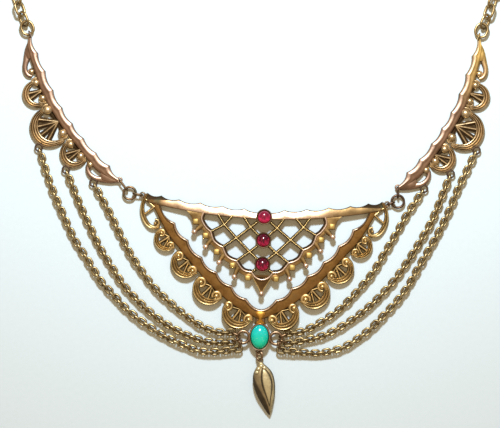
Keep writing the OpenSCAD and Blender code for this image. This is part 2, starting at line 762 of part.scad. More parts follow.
// Section of the drop: a raised middle leaf between two creases over a rounded back: [across, up]
drop_section = [
    [0, -1], [0.6, -0.8], [0.92, -0.25], [1, 0.1], [0.85, 0.55], [0.6, 0.62], [0.4, 0.86], [0, 1],
    [-0.4, 0.86], [-0.6, 0.62], [-0.85, 0.55], [-1, 0.1], [-0.92, -0.25], [-0.6, -0.8],
];

module drop() {
    half = drop_width / 2;
    middle = drop_height / 2;
    color("#6e4f33") translate([drop_eye.x, drop_eye.y, 0]) rotate([0, 0, drop_turn]) {
        translate([0, 0, drop_eye.z]) flat_eye(eye_radius, eye_wire);
        translate([0, -eye_radius, 0])
            skin([for (row = smooth(drop_rows, 1))
                [for (p = drop_section)
                    [p.x * half * row[1], -row[0] * drop_length, middle + p.y * middle * row[2]]]]);
        // Collar of the drop's cap
        translate([0, -eye_radius - 0.1, drop_eye.z])
            rotate([90, 0, 0]) cylinder(d1 = 1, d2 = 1.9, h = 0.9, $fn = 12);
    }
}

// Neck chain

neck_roll = 45;
neck_lay = ((neck_link_width - neck_wire) * sin(45) + neck_wire) / 2;
neck_pitch_most = neck_link_length - 2 * neck_wire - gap;

// First link hangs in a top ring, the last in an eye of the clasp
ring_slack = 0.36;
ring_to_link = (top_ring_length + neck_link_length) / 2 - 2 * neck_wire - gap - ring_slack;
clasp_eye_run = clasp_length / 2 + 0.75;
link_to_eye = neck_link_length / 2 - neck_wire / 2;

function turn_for(run) = 2 * asin(run / 2 / neck_radius);

// Neck links from angle a to angle b, the middles of the first and the last link
module neck_links(a, b) {
    count = ceil(abs(b - a) / turn_for(neck_pitch_most));
    for (i = [0:count]) {
        angle = a + (b - a) * i / count;
        p = on_neck(angle);
        translate([p.x, p.y, neck_lay])
            rotate([0, 0, angle + 90])
                rotate([neck_roll * (i % 2 == 0 ? 1 : -1), 0, 0])
                    oval_link(neck_link_length, neck_link_width, neck_wire);
    }
}

clasp_turn = turn_for(clasp_eye_run + link_to_eye);
module neck_chain_left() {
    color("#93804a") neck_links(180 + left_start - turn_for(ring_to_link), 90 + clasp_turn);
}
module neck_chain_right() {
    color("#93804a") neck_links(-right_start + turn_for(ring_to_link), 90 - clasp_turn);
}

module top_ring(p, angle) {
    translate([p.x, p.y, neck_lay]) rotate([0, 0, angle + 90])
        oval_link(top_ring_length, top_ring_width, neck_wire);
}
module top_ring_left() { color("#93804a") top_ring(left_ring_at, 180 + left_start); }
module top_ring_right() { color("#93804a") top_ring(right_ring_at, -right_start); }

// Clasp: a plain closed box with a drilled tab at each end
clasp_eye_hole = 2;
clasp_tab = 0.5;
clasp_tab_radius = 1.6;
// The chain's first links turn away from the clasp, so its eyes lie this much inside the circle
clasp_inset = (clasp_eye_run + link_to_eye) * sin(clasp_turn / 2) - link_to_eye * sin(clasp_turn);

module clasp() {
    at = on_neck(90);
    color("#93804a") translate([at.x, at.y - clasp_inset, 0]) difference() {
        union() {
            translate([-clasp_length / 2 + 1, -clasp_width / 2, 0])
                cube([clasp_length - 2, clasp_width, clasp_height]);
            translate([-clasp_length / 2, -clasp_width / 2 + 1, 0])
                cube([clasp_length, clasp_width - 2, clasp_height]);
            for (x = [-1, 1], y = [-1, 1])
                translate([x * (clasp_length / 2 - 1), y * (clasp_width / 2 - 1), 0])
                    cylinder(r = 1, h = clasp_height, $fn = fine);
            for (x = [-1, 1]) translate([x * clasp_eye_run, 0, neck_lay - clasp_tab / 2]) {
                cylinder(r = clasp_tab_radius, h = clasp_tab, $fn = fine);
                translate([x < 0 ? 0 : -clasp_tab_radius, -clasp_tab_radius, 0])
                    cube([clasp_tab_radius, 2 * clasp_tab_radius, clasp_tab]);
            }
        }
        for (x = [-1, 1])
            translate([x * clasp_eye_run, 0, -1]) cylinder(d = clasp_eye_hole, h = 6, $fn = fine);
    }
}

plaque();
red_stone_top();
red_stone_middle();
red_stone_bottom();
blue_stone();
side_piece_left();
side_piece_right();
side_link_left();
jump_ring_left();
corner_link_left();
side_link_right();
jump_ring_right();
corner_link_right();
swag_left_outer();
swag_left_middle();
swag_left_inner();
swag_right_outer();
swag_right_middle();
swag_right_inner();
swag_links_left_side();
swag_links_left_ring();
swag_links_right_side();
swag_links_right_ring();
drop_link();
drop();
top_ring_left();
top_ring_right();
neck_chain_left();
neck_chain_right();
clasp();
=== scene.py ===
import math

import bmesh
import bpy
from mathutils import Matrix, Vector


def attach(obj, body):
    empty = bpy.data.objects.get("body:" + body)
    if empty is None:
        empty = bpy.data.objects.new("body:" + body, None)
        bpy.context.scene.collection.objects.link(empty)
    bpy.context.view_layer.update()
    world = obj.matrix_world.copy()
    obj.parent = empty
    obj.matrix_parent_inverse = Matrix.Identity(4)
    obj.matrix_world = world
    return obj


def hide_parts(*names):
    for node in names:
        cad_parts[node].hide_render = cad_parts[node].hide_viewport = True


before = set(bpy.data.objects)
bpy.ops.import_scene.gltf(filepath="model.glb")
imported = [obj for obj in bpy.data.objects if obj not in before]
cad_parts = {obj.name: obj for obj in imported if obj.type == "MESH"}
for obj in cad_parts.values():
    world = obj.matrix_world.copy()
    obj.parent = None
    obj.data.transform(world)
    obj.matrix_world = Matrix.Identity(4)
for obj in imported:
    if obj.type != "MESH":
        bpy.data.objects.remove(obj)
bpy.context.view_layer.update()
mm = 0.001
print("cad loaded")


# curves and outlines, in millimetres


def smoothRows(rows, steps):
    # a smooth curve through rows of numbers
    filled, last = [], len(rows) - 1
    for i in range(last):
        picks = rows[max(i - 1, 0)], rows[i], rows[i + 1], rows[min(i + 2, last)]
        for s in range(steps):
            t = s / steps
            filled.append(tuple(
                (2 * b + (c - a) * t + (2 * a - 5 * b + 4 * c - d) * t * t + (3 * b - a - 3 * c + d) * t ** 3) / 2
                for a, b, c, d in zip(*picks)))
    filled.append(tuple(rows[last]))
    return filled


def scallopRun(a, b, sag, steps):
    # a bowed line from a up to but without b; steps are a number of them or their shares
    dx, dy = b[0] - a[0], b[1] - a[1]
    long = math.hypot(dx, dy)
    points = []
    for u in [s / steps for s in range(steps)] if isinstance(steps, int) else steps:
        push = -sag * 4 * u * (1 - u) / long
        points.append((a[0] + dx * u + dy * push, a[1] + dy * u - dx * push))
    return points


def between(a, b, share):
    return tuple(p + (q - p) * share for p, q in zip(a, b))


def atShare(path, share):
    f = share * (len(path) - 1)
    i = min(int(f), len(path) - 2)
    return between(path[i], path[i + 1], f - i)


def heading(a, b):
    long = math.dist(a[:2], b[:2]) or 1
    return (b[0] - a[0]) / long, (b[1] - a[1]) / long


def headingAt(path, i):
    return heading(path[max(i - 1, 0)], path[min(i + 1, len(path) - 1)])


def facingFrom(a, b):
    return math.degrees(math.atan2(b[1] - a[1], b[0] - a[0]))


def shifted(path, amount):
    # the path moved to its left
    headings = [headingAt(path, i) for i in range(len(path))]
    return [(x - hy * amount, y + hx * amount) for (x, y), (hx, hy) in zip(path, headings)]


def mirrored(points):
    return [(-p[0],) + tuple(p[1:]) for p in points]


def bothSides(half):
    # half ends on the middle line
    return half + mirrored(half[-2::-1])


def polar(centre, radius, angle):
    turn = math.radians(angle)
    return centre[0] + radius * math.cos(turn), centre[1] + radius * math.sin(turn)


def roundTurns(count):
    return [2 * math.pi * k / count for k in range(count)]


def squareAt(p, half):
    return [(p[0] + half * x, p[1] + half * y) for x, y in ((-1, -1), (1, -1), (1, 1), (-1, 1))]


def ramp(x, start, reach):
    # from 0 at the start to 1 where the reach ends
    return min(max((x - start) / reach, 0), 1)


# where each part lies on the table

plaquePlace = {"middle": (1.8, -52.2), "turn": math.radians(-2.2), "rise": 1.0, "half": 30.0}
neckPlace = {"middleY": 28, "radius": 59.7, "leftStart": 23.7, "rightStart": 24.35, "ringHalf": (4 - 0.68) / 2}
sidePlace = {"fit": 41 / 41.6, "upperEye": (0.2, 0.9), "rightTurn": math.radians(3.3)}


def turnedAbout(centre, x, y, angle):
    c, s = math.cos(angle), math.sin(angle)
    return centre[0] + x * c - y * s, centre[1] + x * s + y * c


def lift(x):
    return plaquePlace["rise"] * (1 - min(abs(x) / plaquePlace["half"], 1) ** 2)


def onPlaque(p):
    x, y = turnedAbout(plaquePlace["middle"], p[0], p[1], plaquePlace["turn"])
    return Vector((x, y, p[2] + lift(p[0]))) * mm


def onPlaqueLeft(p):
    return onPlaque((-p[0], p[1], p[2]))


plaqueHalves = onPlaque, onPlaqueLeft


def upperEye(side):
    start = math.radians(neckPlace["leftStart"] if side < 0 else neckPlace["rightStart"])
    x = side * neckPlace["radius"] * math.cos(start)
    y = neckPlace["middleY"] - neckPlace["radius"] * math.sin(start)
    return x - side * neckPlace["ringHalf"] * math.sin(start), y - neckPlace["ringHalf"] * math.cos(start)


def onSide(side, p):
    # the right piece is the left one mirrored and turned a little
    fit, eye = sidePlace["fit"], sidePlace["upperEye"]
    turn = sidePlace["rightTurn"] if side > 0 else 0
    x, y = turnedAbout(upperEye(side), -side * fit * (p[0] - eye[0]), fit * (p[1] - eye[1]), turn)
    return Vector((x, y, p[2])) * mm


def onSideLeft(p):
    return onSide(-1, p)


def onSideRight(p):
    return onSide(1, p)


# metalwork: skins, wires, plates, domes and turned rings, all gathered in one mesh for each piece

sharpAngle = math.radians(48)
# painted shade on the lower side of round wires and eyes
undersideShade = 0.8


def startPiece():
    metal = bmesh.new()
    for name in ("patina", "polish"):
        metal.verts.layers.float.new(name)
    return metal


def addPoint(metal, place, point, mark):
    vert, layers = metal.verts.new(place(point)), metal.verts.layers.float
    vert[layers["patina"]], vert[layers["polish"]] = mark
    return vert


def joinRows(metal, made, looped=False):
    # faces between each row of points and the next; a row of one point closes to a tip
    for a, b in zip(made, made[1:] + (made[:1] if looped else [])):
        sides = max(len(a), len(b))
        for j in range(sides):
            k = (j + 1) % sides
            corners = a[j % len(a)], a[k % len(a)], b[k % len(b)], b[j % len(b)]
            metal.faces.new(list(dict.fromkeys(corners)))


def addSkin(metal, place, rings, marks, looped=False):
    # marks are one row for every ring, or a row for each
    each = marks if isinstance(marks[0], list) else [marks] * len(rings)
    made = [[addPoint(metal, place, p, m) for p, m in zip(ring, row)] for ring, row in zip(rings, each)]
    joinRows(metal, made, looped)
    if not looped:
        metal.faces.new(made[0])
        metal.faces.new(made[-1][::-1])


def crossCut(a, b, rows, high):
    # rows are distance from a towards b, up, patina and painted shade, polish and painted highlight
    nx, ny = heading(a, b)
    return [(a[0] + nx * row[0], a[1] + ny * row[0], row[1] * high) for row in rows], [row[2:] for row in rows]


def addBand(metal, place, path, profile, height, low=0.0, plain=None):
    # path rows are x, y, width, a share of the height and a share of the plain profile;
    # profile rows are across, up, patina and painted shade, polish and painted highlight
    rings, marks = [], []
    for i, row in enumerate(path):
        x, y, width, tall, share = tuple(row) + (1, 0)[len(row) - 3:]
        hx, hy = headingAt(path, i)
        tall = height * tall
        used = [between(q, r, share) for q, r in zip(profile, plain or profile)]
        rings.append([(x - hy * q[0] * width, y + hx * q[0] * width, low + q[1] * tall) for q in used])
        marks.append([q[2:] for q in used])
    addSkin(metal, place, rings, marks)


def addWire(metal, place, points, thick, mark=(0, 0.5), sides=10, closed=False):
    # a round wire along points x, y, z; thick may be one number or one for each point
    rings, count, turns = [], len(points), roundTurns(sides)
    for i, p in enumerate(points):
        half = (thick[i] if isinstance(thick, list) else thick) / 2
        a = points[i - 1 if closed else max(i - 1, 0)]
        b = points[(i + 1) % count if closed else min(i + 1, count - 1)]
        along = (Vector(b) - Vector(a)).normalized()
        across = along.cross(Vector((0, 0, 1))).normalized()
        up = across.cross(along)
        rings.append([tuple(Vector(p) + half * (across * math.cos(t) + up * math.sin(t))) for t in turns])
    marks = [(mark[0] if math.sin(t) > -0.2 else undersideShade, mark[1]) for t in turns]
    addSkin(metal, place, rings, marks, closed)


def addEye(metal, place, centre, radius, wire, around=28, sides=10, mark=(0.1, 0.4)):
    rings, section, thick = [], roundTurns(sides), wire / 2
    for t in roundTurns(around):
        rings.append([(centre[0] + (radius + thick * math.cos(s)) * math.cos(t),
                       centre[1] + (radius + thick * math.cos(s)) * math.sin(t),
                       centre[2] + thick * math.sin(s)) for s in section])
    marks = [(mark[0] if math.sin(s) > 0.3 else undersideShade, mark[1]) for s in section]
    addSkin(metal, place, rings, marks, looped=True)


def addTurned(metal, place, centre, rows, sides, stretch=(1, 1)):
    # rows are radius, up, patina and painted shade, polish and painted highlight, from the back round to the middle of
    # the front
    made = []
    for r, up, *mark in rows:
        made.append([addPoint(metal, place, (centre[0] + r * stretch[0] * math.cos(t),
                                             centre[1] + r * stretch[1] * math.sin(t), centre[2] + up), mark)
                     for t in (roundTurns(sides) if r else [0])])
    joinRows(metal, made)
    return made


def addDome(metal, place, centre, radius, height, polish=1.0, sides=20, levels=7):
    # a ball on a short stem, with painted shade round its foot that thins up its steep sides
    stem, creaseShade = height * 0.3, 0.9
    rows = [(0, 0, creaseShade, polish), (radius * 0.96, 0, creaseShade, polish)]
    for i in range(levels):
        a = math.pi / 2 * i / levels
        rows.append((radius * math.cos(a), stem + (height - stem) * math.sin(a),
                     max(0, creaseShade - 1.2 * math.sin(a)), polish))
    addTurned(metal, place, centre, rows + [(0, height, 0, polish)], sides)


# profile rows are across, up, patina and painted shade, polish and painted highlight; their dark sides are painted
# shade
# an upright strip that is black all round, as painted shade
paintedShadeProfile = [(0.5, 0, 1, 0), (0.5, 0.8, 1, 0), (0.3, 1, 1, 0), (-0.3, 1, 1, 0), (-0.5, 0.8, 1, 0), (-0.5, 0, 1, 0)]
# legs and leaves are darker down their sides, as painted shade
legProfile = [(0.5, 0, 1, 0), (0.5, 0.7, 0.85, 0.2), (0.34, 0.94, 0.4, 0.35), (0, 1, 0.3, 0.3),
              (-0.34, 0.94, 0.55, 0.1), (-0.5, 0.7, 0.9, 0.1), (-0.5, 0, 1, 0)]
leafProfile = [(0.5, 0, 1, 0), (0.5, 0.55, 0.7, 0.1), (0.44, 0.8, 0.15, 0.6), (0.3, 0.95, 0, 0.6), (0, 1, 0, 0.3),
               (-0.3, 0.95, 0, 0.2), (-0.44, 0.8, 0.1, 0.2), (-0.5, 0.55, 0.7, 0.1), (-0.5, 0, 1, 0)]


def ribbedProfile(ridges, rise=0.26, samples=6, groove=2.0):
    # rounded ridges side by side on a low crown, with dark grooves between them and painted shade down both edges
    edge, count = 0.45, ridges * samples
    rows = [(0.5, 0, 1, 0), (0.5, edge, 0.9, 0.2)]
    for u in [k / count for k in range(count + 1)]:
        wave = (1 - math.cos(2 * math.pi * ridges * u)) / 2
        side = max(0, 1 - min(u, 1 - u) / 0.13)
        rows.append((0.5 - u, edge + 0.14 + 0.15 * math.sin(math.pi * u) + rise * wave ** 0.8,
                     max(0.95 * (1 - wave) ** groove, 0.85 * side), 0.35 + 0.6 * wave))
    return rows + [(-0.5, edge, 0.9, 0.2), (-0.5, 0, 1, 0)]


def roundedProfile(like):
    # one plain rounded ridge with as many rows as another profile, darker down its sides as painted shade
    return [row if row[1] < 0.5 else
            (row[0], 0.5 + 0.5 * math.cos(math.pi * row[0]) ** 0.6, 0.5 * abs(row[0] * 2) ** 4, 1.0) for row in like]


def addShadeWall(metal, place, points, width, low, high):
    # an upright strip under a wire, black all over as painted shade
    addBand(metal, place, [(p[0], p[1], width) for p in points], paintedShadeProfile, high - low, low)


def addStack(metal, place, stack):
    # outlines one above the other, closed below and above; stack rows are outline, up, mark
    made = [[addPoint(metal, place, (x, y, up), mark) for x, y in outline] for outline, up, mark in stack]
    joinRows(metal, made)
    for row in made[0], made[-1]:
        metal.faces.new(row)


def addPlate(metal, place, outline, low, high, bevel, mark=(0.1, 0.1)):
    # a flat plate with a rounded upper edge
    nexts = outline[1:] + outline[:1]
    side = 1 if sum(a[0] * b[1] - b[0] * a[1] for a, b in zip(outline, nexts)) > 0 else -1

    def inset(amount):
        headings = [heading(outline[i - 1], b) for i, b in enumerate(nexts)]
        return [(p[0] - side * hy * amount, p[1] + side * hx * amount) for p, (hx, hy) in zip(outline, headings)]

    rows = [(0, low, (0.9, 0)), (0, high - bevel, (0.7, 0)), (bevel * 0.3, high - bevel * 0.3, (0.3, 0.2)),
            (bevel, high, mark)]
    addStack(metal, place, [(inset(amount), up, m) for amount, up, m in rows])


def addStud(metal, place, p, low, half):
    # a low square pyramid on an upright edge
    rows = [(1, 0, (1, 0)), (1, 0.45, (0.6, 0.2)), (0.88, 0.52, (0.05, 0.8)), (0.1, 0.54, (0, 1))]
    addStack(metal, place, [(squareAt(p, half * share), low + up, mark) for share, up, mark in rows])


def paintFrom(metal, count, index):
    # the faces after the first count take another of the piece's looks
    for face in list(metal.faces)[count:]:
        face.material_index = index


def handOver(name, mesh, node):
    piece = bpy.data.objects.new(name, mesh)
    bpy.context.collection.objects.link(piece)
    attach(piece, "root")
    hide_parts(node)
    print(name, "made,", sum(len(p.vertices) - 2 for p in mesh.polygons), "triangles")


def finishPiece(metal, name, looks, node):
    bmesh.ops.recalc_face_normals(metal, faces=metal.faces)
    mesh = bpy.data.meshes.new(name)
    metal.to_mesh(mesh)
    metal.free()
    mesh.polygons.foreach_set("use_smooth", [True] * len(mesh.polygons))
    mesh.set_sharp_from_angle(angle=sharpAngle)
    for look in looks:
        mesh.materials.append(bpy.data.materials[look])
    handOver(name, mesh, node)


# nodes that the looks and the geometry share


def feed(tree, socket, value):
    # from another node's output, or a value; colours are given without alpha
    if isinstance(value, bpy.types.NodeSocket):
        tree.links.new(value, socket)
    else:
        socket.default_value = (*value, 1) if socket.type == "RGBA" else value


def addNode(tree, kind, inputs=None, **settings):
    node = tree.nodes.new(kind)
    for key, value in settings.items():
        setattr(node, key, value)
    for key, value in (inputs or {}).items():
        feed(tree, node.inputs[key], value)
    return node


def newGroup(name, kind, inputs, outputs):
    # inputs and outputs are names of sockets for each kind of socket
    tree = bpy.data.node_groups.new(name, kind)
    for way, kinds in (("INPUT", inputs), ("OUTPUT", outputs)):
        for socketKind, names in kinds.items():
            for each in names:
                tree.interface.new_socket(name=each, in_out=way, socket_type="NodeSocket" + socketKind)
    return tree, addNode(tree, "NodeGroupInput").outputs


def mathNode(tree, operation, *values, clamp=False):
    return addNode(tree, "ShaderNodeMath", dict(enumerate(values)), operation=operation, use_clamp=clamp).outputs[0]


def times(tree, value, *others):
    for other in others:
        value = mathNode(tree, "MULTIPLY", value, other)
    return value


def mixColour(tree, share, a, b):
    return addNode(tree, "ShaderNodeMix", {"Factor": share, 6: a, 7: b}, data_type="RGBA").outputs[2]


def spread(tree, value, low, high, toLow=0.0, toHigh=1.0, ease="SMOOTHSTEP"):
    limits = {"Value": value, "From Min": low, "From Max": high, "To Min": toLow, "To Max": toHigh}
    return addNode(tree, "ShaderNodeMapRange", limits, interpolation_type=ease).outputs["Result"]


def noiseNode(tree, where, scale, detail=3.0, rough=0.55):
    values = {"Vector": where, "Scale": scale, "Detail": detail, "Roughness": rough}
    return addNode(tree, "ShaderNodeTexNoise", values).outputs["Fac"]


def axisOf(tree, vector, axis):
    return addNode(tree, "ShaderNodeSeparateXYZ", {0: vector}).outputs[axis]


def objectPlace(tree):
    return addNode(tree, "ShaderNodeTexCoord").outputs["Object"]


def bumpNode(tree, height, strength, depth):
    return addNode(tree, "ShaderNodeBump", {"Strength": strength, "Distance": depth * mm, "Height": height}).outputs[0]


def newLook(name):
    look = bpy.data.materials.new(name)
    look.use_nodes = True
    return look.node_tree


def feedSurface(tree, values):
    for name, value in values.items():
        feed(tree, tree.nodes["Principled BSDF"].inputs[name], value)


# old brass: worn gilding over dark metal, with patina and painted shade, as colour, roughness and a grain height

brassStyle = {
    "cloud": (420, 4, 0.55),
    "speck": (2600, 3, 0.65),
    "brush": (7000, 2, 0.6),
    "yellowTint": (1.0, 0.68, 0.2),
    "greyedTone": (0.3, 0.21, 0.09),
    "green": (0.05, 0.13, 0.09),
    "grainDepth": 0.03,
}


def buildAgedBrass():
    style = brassStyle
    tree, given = newGroup(
        "agedBrass", "ShaderNodeTree",
        {"Color": ("Satin", "Polished", "Dark"),
         "Float": ("Tarnish", "Crease Depth", "Roughness", "Polish Everywhere", "Green Trace")},
        {"Color": ["Colour"], "Float": ("Roughness", "Height")})
    where = objectPlace(tree)
    patina, polish, yellowTint, greyedTone = (addNode(tree, "ShaderNodeAttribute", attribute_name=name).outputs["Fac"]
                                   for name in ("patina", "polish", "yellowTint", "greyedTone"))
    cloud, speck, brush = (noiseNode(tree, where, *style[name]) for name in ("cloud", "speck", "brush"))
    creaseShade = addNode(tree, "ShaderNodeAmbientOcclusion", {"Distance": given["Crease Depth"]}, samples=8)
    # the creases darken with tarnish and with painted shade from the ambient occlusion, added to the patina and
    # painted shade marks; tarnish also gathers in cloudy patches
    shut = mathNode(tree, "SUBTRACT", 1.0, spread(tree, creaseShade.outputs["AO"], 0.25, 0.85))
    stain = times(tree, spread(tree, cloud, 0.42, 0.72), given["Tarnish"], spread(tree, speck, 0.3, 0.65, 0.55, 1.0))
    shadeAndPatina = mathNode(tree, "MAXIMUM", times(tree, shut, 0.85), times(tree, patina, 0.9))
    mask = mathNode(tree, "MAXIMUM", shadeAndPatina, stain, clamp=True)
    shine = mathNode(tree, "ADD", polish, given["Polish Everywhere"], clamp=True)
    shine = times(tree, shine, spread(tree, speck, 0.25, 0.6, 0.75, 1.0))
    colour = mixColour(tree, shine, given["Satin"], given["Polished"])
    colour = mixColour(tree, yellowTint, colour, style["yellowTint"])
    colour = mixColour(tree, greyedTone, colour, style["greyedTone"])
    shade = spread(tree, cloud, 0.3, 0.7, 0.7, 1.15)
    tint = addNode(tree, "ShaderNodeVectorMath", {0: colour, "Scale": shade}, operation="SCALE")
    colour = mixColour(tree, mask, tint.outputs[0], given["Dark"])
    green = times(tree, mask, spread(tree, cloud, 0.55, 0.7), given["Green Trace"])
    rough = mathNode(tree, "ADD", given["Roughness"], times(tree, mask, 0.3))
    rough = mathNode(tree, "SUBTRACT", rough, times(tree, shine, 0.1))
    rough = mathNode(tree, "ADD", rough, spread(tree, speck, 0.2, 0.8, -0.06, 0.08), clamp=True)
    grain = mathNode(tree, "ADD", times(tree, speck, 0.7), times(tree, brush, 0.3))
    addNode(tree, "NodeGroupOutput",
            {"Colour": mixColour(tree, green, colour, style["green"]), "Roughness": rough, "Height": grain})
    return tree


agedBrass = buildAgedBrass()


def metalLook(name, satin, polished, dark=(0.03, 0.018, 0.01), tarnish=0.4, depth=0.8, roughness=0.34,
              everywhere=0.0, green=0.0, bump=0.25, metallic=1.0):
    tree = newLook(name)
    aged = addNode(tree, "ShaderNodeGroup",
                   {"Satin": satin, "Polished": polished, "Dark": dark, "Tarnish": tarnish,
                    "Crease Depth": depth * mm, "Roughness": roughness, "Polish Everywhere": everywhere,
                    "Green Trace": green}, node_tree=agedBrass).outputs
    feedSurface(tree, {"Base Color": aged["Colour"], "Roughness": aged["Roughness"], "Metallic": metallic,
                       "Normal": bumpNode(tree, aged["Height"], bump, brassStyle["grainDepth"])})


metalLook("satinBrass", (0.35, 0.18, 0.052), (0.9, 0.66, 0.48), tarnish=0.35, roughness=0.4, green=0.35)
metalLook("bossGold", (0.66, 0.33, 0.06), (1.0, 0.52, 0.1), tarnish=0.25, roughness=0.5)
metalLook("scrollGold", (0.44, 0.25, 0.065), (1.0, 0.73, 0.34), tarnish=0.25, roughness=0.42, depth=0.5, metallic=0.9)
metalLook("trellisBrass", (0.42, 0.21, 0.06), (1.0, 0.76, 0.34), tarnish=0.25, roughness=0.42, depth=0.35,
          metallic=0.92)
metalLook("rosyGold", (0.5, 0.3, 0.15), (1.0, 0.74, 0.55), tarnish=0.15, roughness=0.44, depth=0.25, metallic=0.85)
metalLook("studGold", (0.5, 0.31, 0.08), (0.8, 0.56, 0.18), tarnish=0.25, roughness=0.55, depth=0.2, metallic=0.8)
metalLook("sideBrass", (0.33, 0.19, 0.11), (0.9, 0.64, 0.5), tarnish=0.25, roughness=0.42, depth=0.5, bump=0.12,
          metallic=0.9)
metalLook("fanGold", (0.42, 0.23, 0.07), (1.0, 0.77, 0.46), tarnish=0.25, roughness=0.38, depth=0.5, metallic=0.92)
metalLook("chainBrass", (0.42, 0.29, 0.11), (0.95, 0.76, 0.44), dark=(0.06, 0.038, 0.02), tarnish=0.85,
          roughness=0.36, depth=0.7, everywhere=0.35)
metalLook("linkBrass", (0.25, 0.15, 0.075), (0.62, 0.42, 0.26), tarnish=0.8, roughness=0.38, depth=0.6,
          everywhere=0.2, green=0.5)
metalLook("darkLinks", (0.14, 0.085, 0.055), (0.4, 0.26, 0.17), tarnish=0.8, roughness=0.4, depth=0.6,
          everywhere=0.15, green=0.3)
metalLook("neckBrass", (0.4, 0.26, 0.1), (0.8, 0.6, 0.32), tarnish=0.7, roughness=0.36, depth=0.7, everywhere=0.4)
metalLook("dropBronze", (0.36, 0.24, 0.11), (1.0, 0.85, 0.5), tarnish=0.3, roughness=0.45, metallic=0.7)
print("metals mixed")


# frame of the plaque: a scalloped bright rim beside a satin face

frameStyle = {
    "inner": [(24.9, 12.4), (21.3, 8.6), (18, 4.6), (14.5, 0.6), (10.8, -2.8), (7.1, -5.9), (3.5, -8.9)],
    "outer": [(27.8, 14.4), (23.6, 6.7), (20.2, 2.5), (16.4, -1.8), (12.8, -5.6), (8.9, -9), (5.1, -11.6), (0, -14)],
    "sag": 0.75,
    "footSag": 2.5,
    "height": 1.2,
    # distance from the inner edge, height, patina and painted shade, polish and painted highlight
    "rim": [(0, 0, 1, 0), (0, 0.55, 0.7, 0.1), (0.07, 0.74, 0.25, 0.6), (0.18, 0.93, 0, 1), (0.32, 1.0, 0, 1),
            (0.46, 0.98, 0, 0.8), (0.56, 0.89, 0.35, 0.3), (0.64, 0.83, 0.55, 0), (0.74, 0.82, 0.2, 0),
            (0.95, 0.83, 0.0, 0)],
    # share of the width, distance back from there, height, patina and painted shade, polish and painted highlight
    "face": [(0.5, 0, 0.84, 0, 0), (1, 0.4, 0.83, 0, 0), (1, 0.18, 0.81, 0.3, 0), (1, 0.05, 0.74, 0.8, 0),
             (1, 0, 0.6, 1, 0), (1, 0, 0, 1, 0)],
    "boss": [(0, -11.9, 2.7, 0.9), (0, -12.5, 2.4, 1), (0, -13.2, 1.4, 1), (0, -13.8, 0.95, 0.95),
             (0, -14.8, 2.4, 0.8)],
    "bossProfile": [(0.5, 0, 1, 0), (0.5, 0.72, 0.4, 0.4), (0.4, 0.9, 0, 0.5), (0.2, 0.98, 0, 1), (0, 1, 0, 1)],
    "bossHeight": 1.25,
}


def makeFrame():
    style, metal = frameStyle, startPiece()
    inner, foot = style["inner"], style["inner"][-1:]
    half = [p for a, b in zip(inner, inner[1:]) for p in scallopRun(a, b, style["sag"], 9)]
    low = scallopRun(foot[0], mirrored(foot)[0], style["footSag"], 18)
    edge = half + low + mirrored(foot + half[::-1])
    outer, cuts = bothSides(smoothRows(style["outer"], 8)), []
    for i, a in enumerate(edge):
        b = atShare(outer, i / (len(edge) - 1))
        face = [(math.dist(a, b) * share - back, *row) for share, back, *row in style["face"]]
        cuts.append(crossCut(a, b, style["rim"] + face, style["height"]))
    addSkin(metal, onPlaque, *zip(*cuts))
    # boss at the foot of the frame
    count = len(metal.faces)
    addBand(metal, onPlaque, smoothRows(style["boss"], 4), bothSides(style["bossProfile"]), style["bossHeight"], 0.05)
    paintFrom(metal, count, 1)
    finishPiece(metal, "plaque_frame", ["satinBrass", "bossGold"], "plaque")


# top bar: a broad face tipped to the top edge, which is wavy

barStyle = {
    "edge": [(0, 12.1), (4.8, 12.6), (10.1, 13), (15.4, 13.6), (20.6, 14.2), (24.9, 15), (28.3, 15.6)],
    "sag": 0.55,
    # lower edge in the middle and where the frame meets it, and that place along the bar
    "lowMiddle": 10.15,
    "lowEnd": 12.6,
    "lowReach": 24.9,
    "ridgeBelow": 0.22,
    "ridgeLine": 13.9,
    "height": 1.2,
    # start and reach along the bar, from its middle
    "corner": (15, 6),
    "end": (23.5, 2),
    "fade": (11.5, 8.5),
    "fadeShare": 0.6,
    # start and reach of the part where the painted highlight dims, its painted shade, the end's patina and painted
    # shade, and the share of the highlight lost
    "right": (9.5, 8.5, 0.22, 0.35, 0.85),
    "left": (11, 12, 0.1, 0.7, 0.55),
}


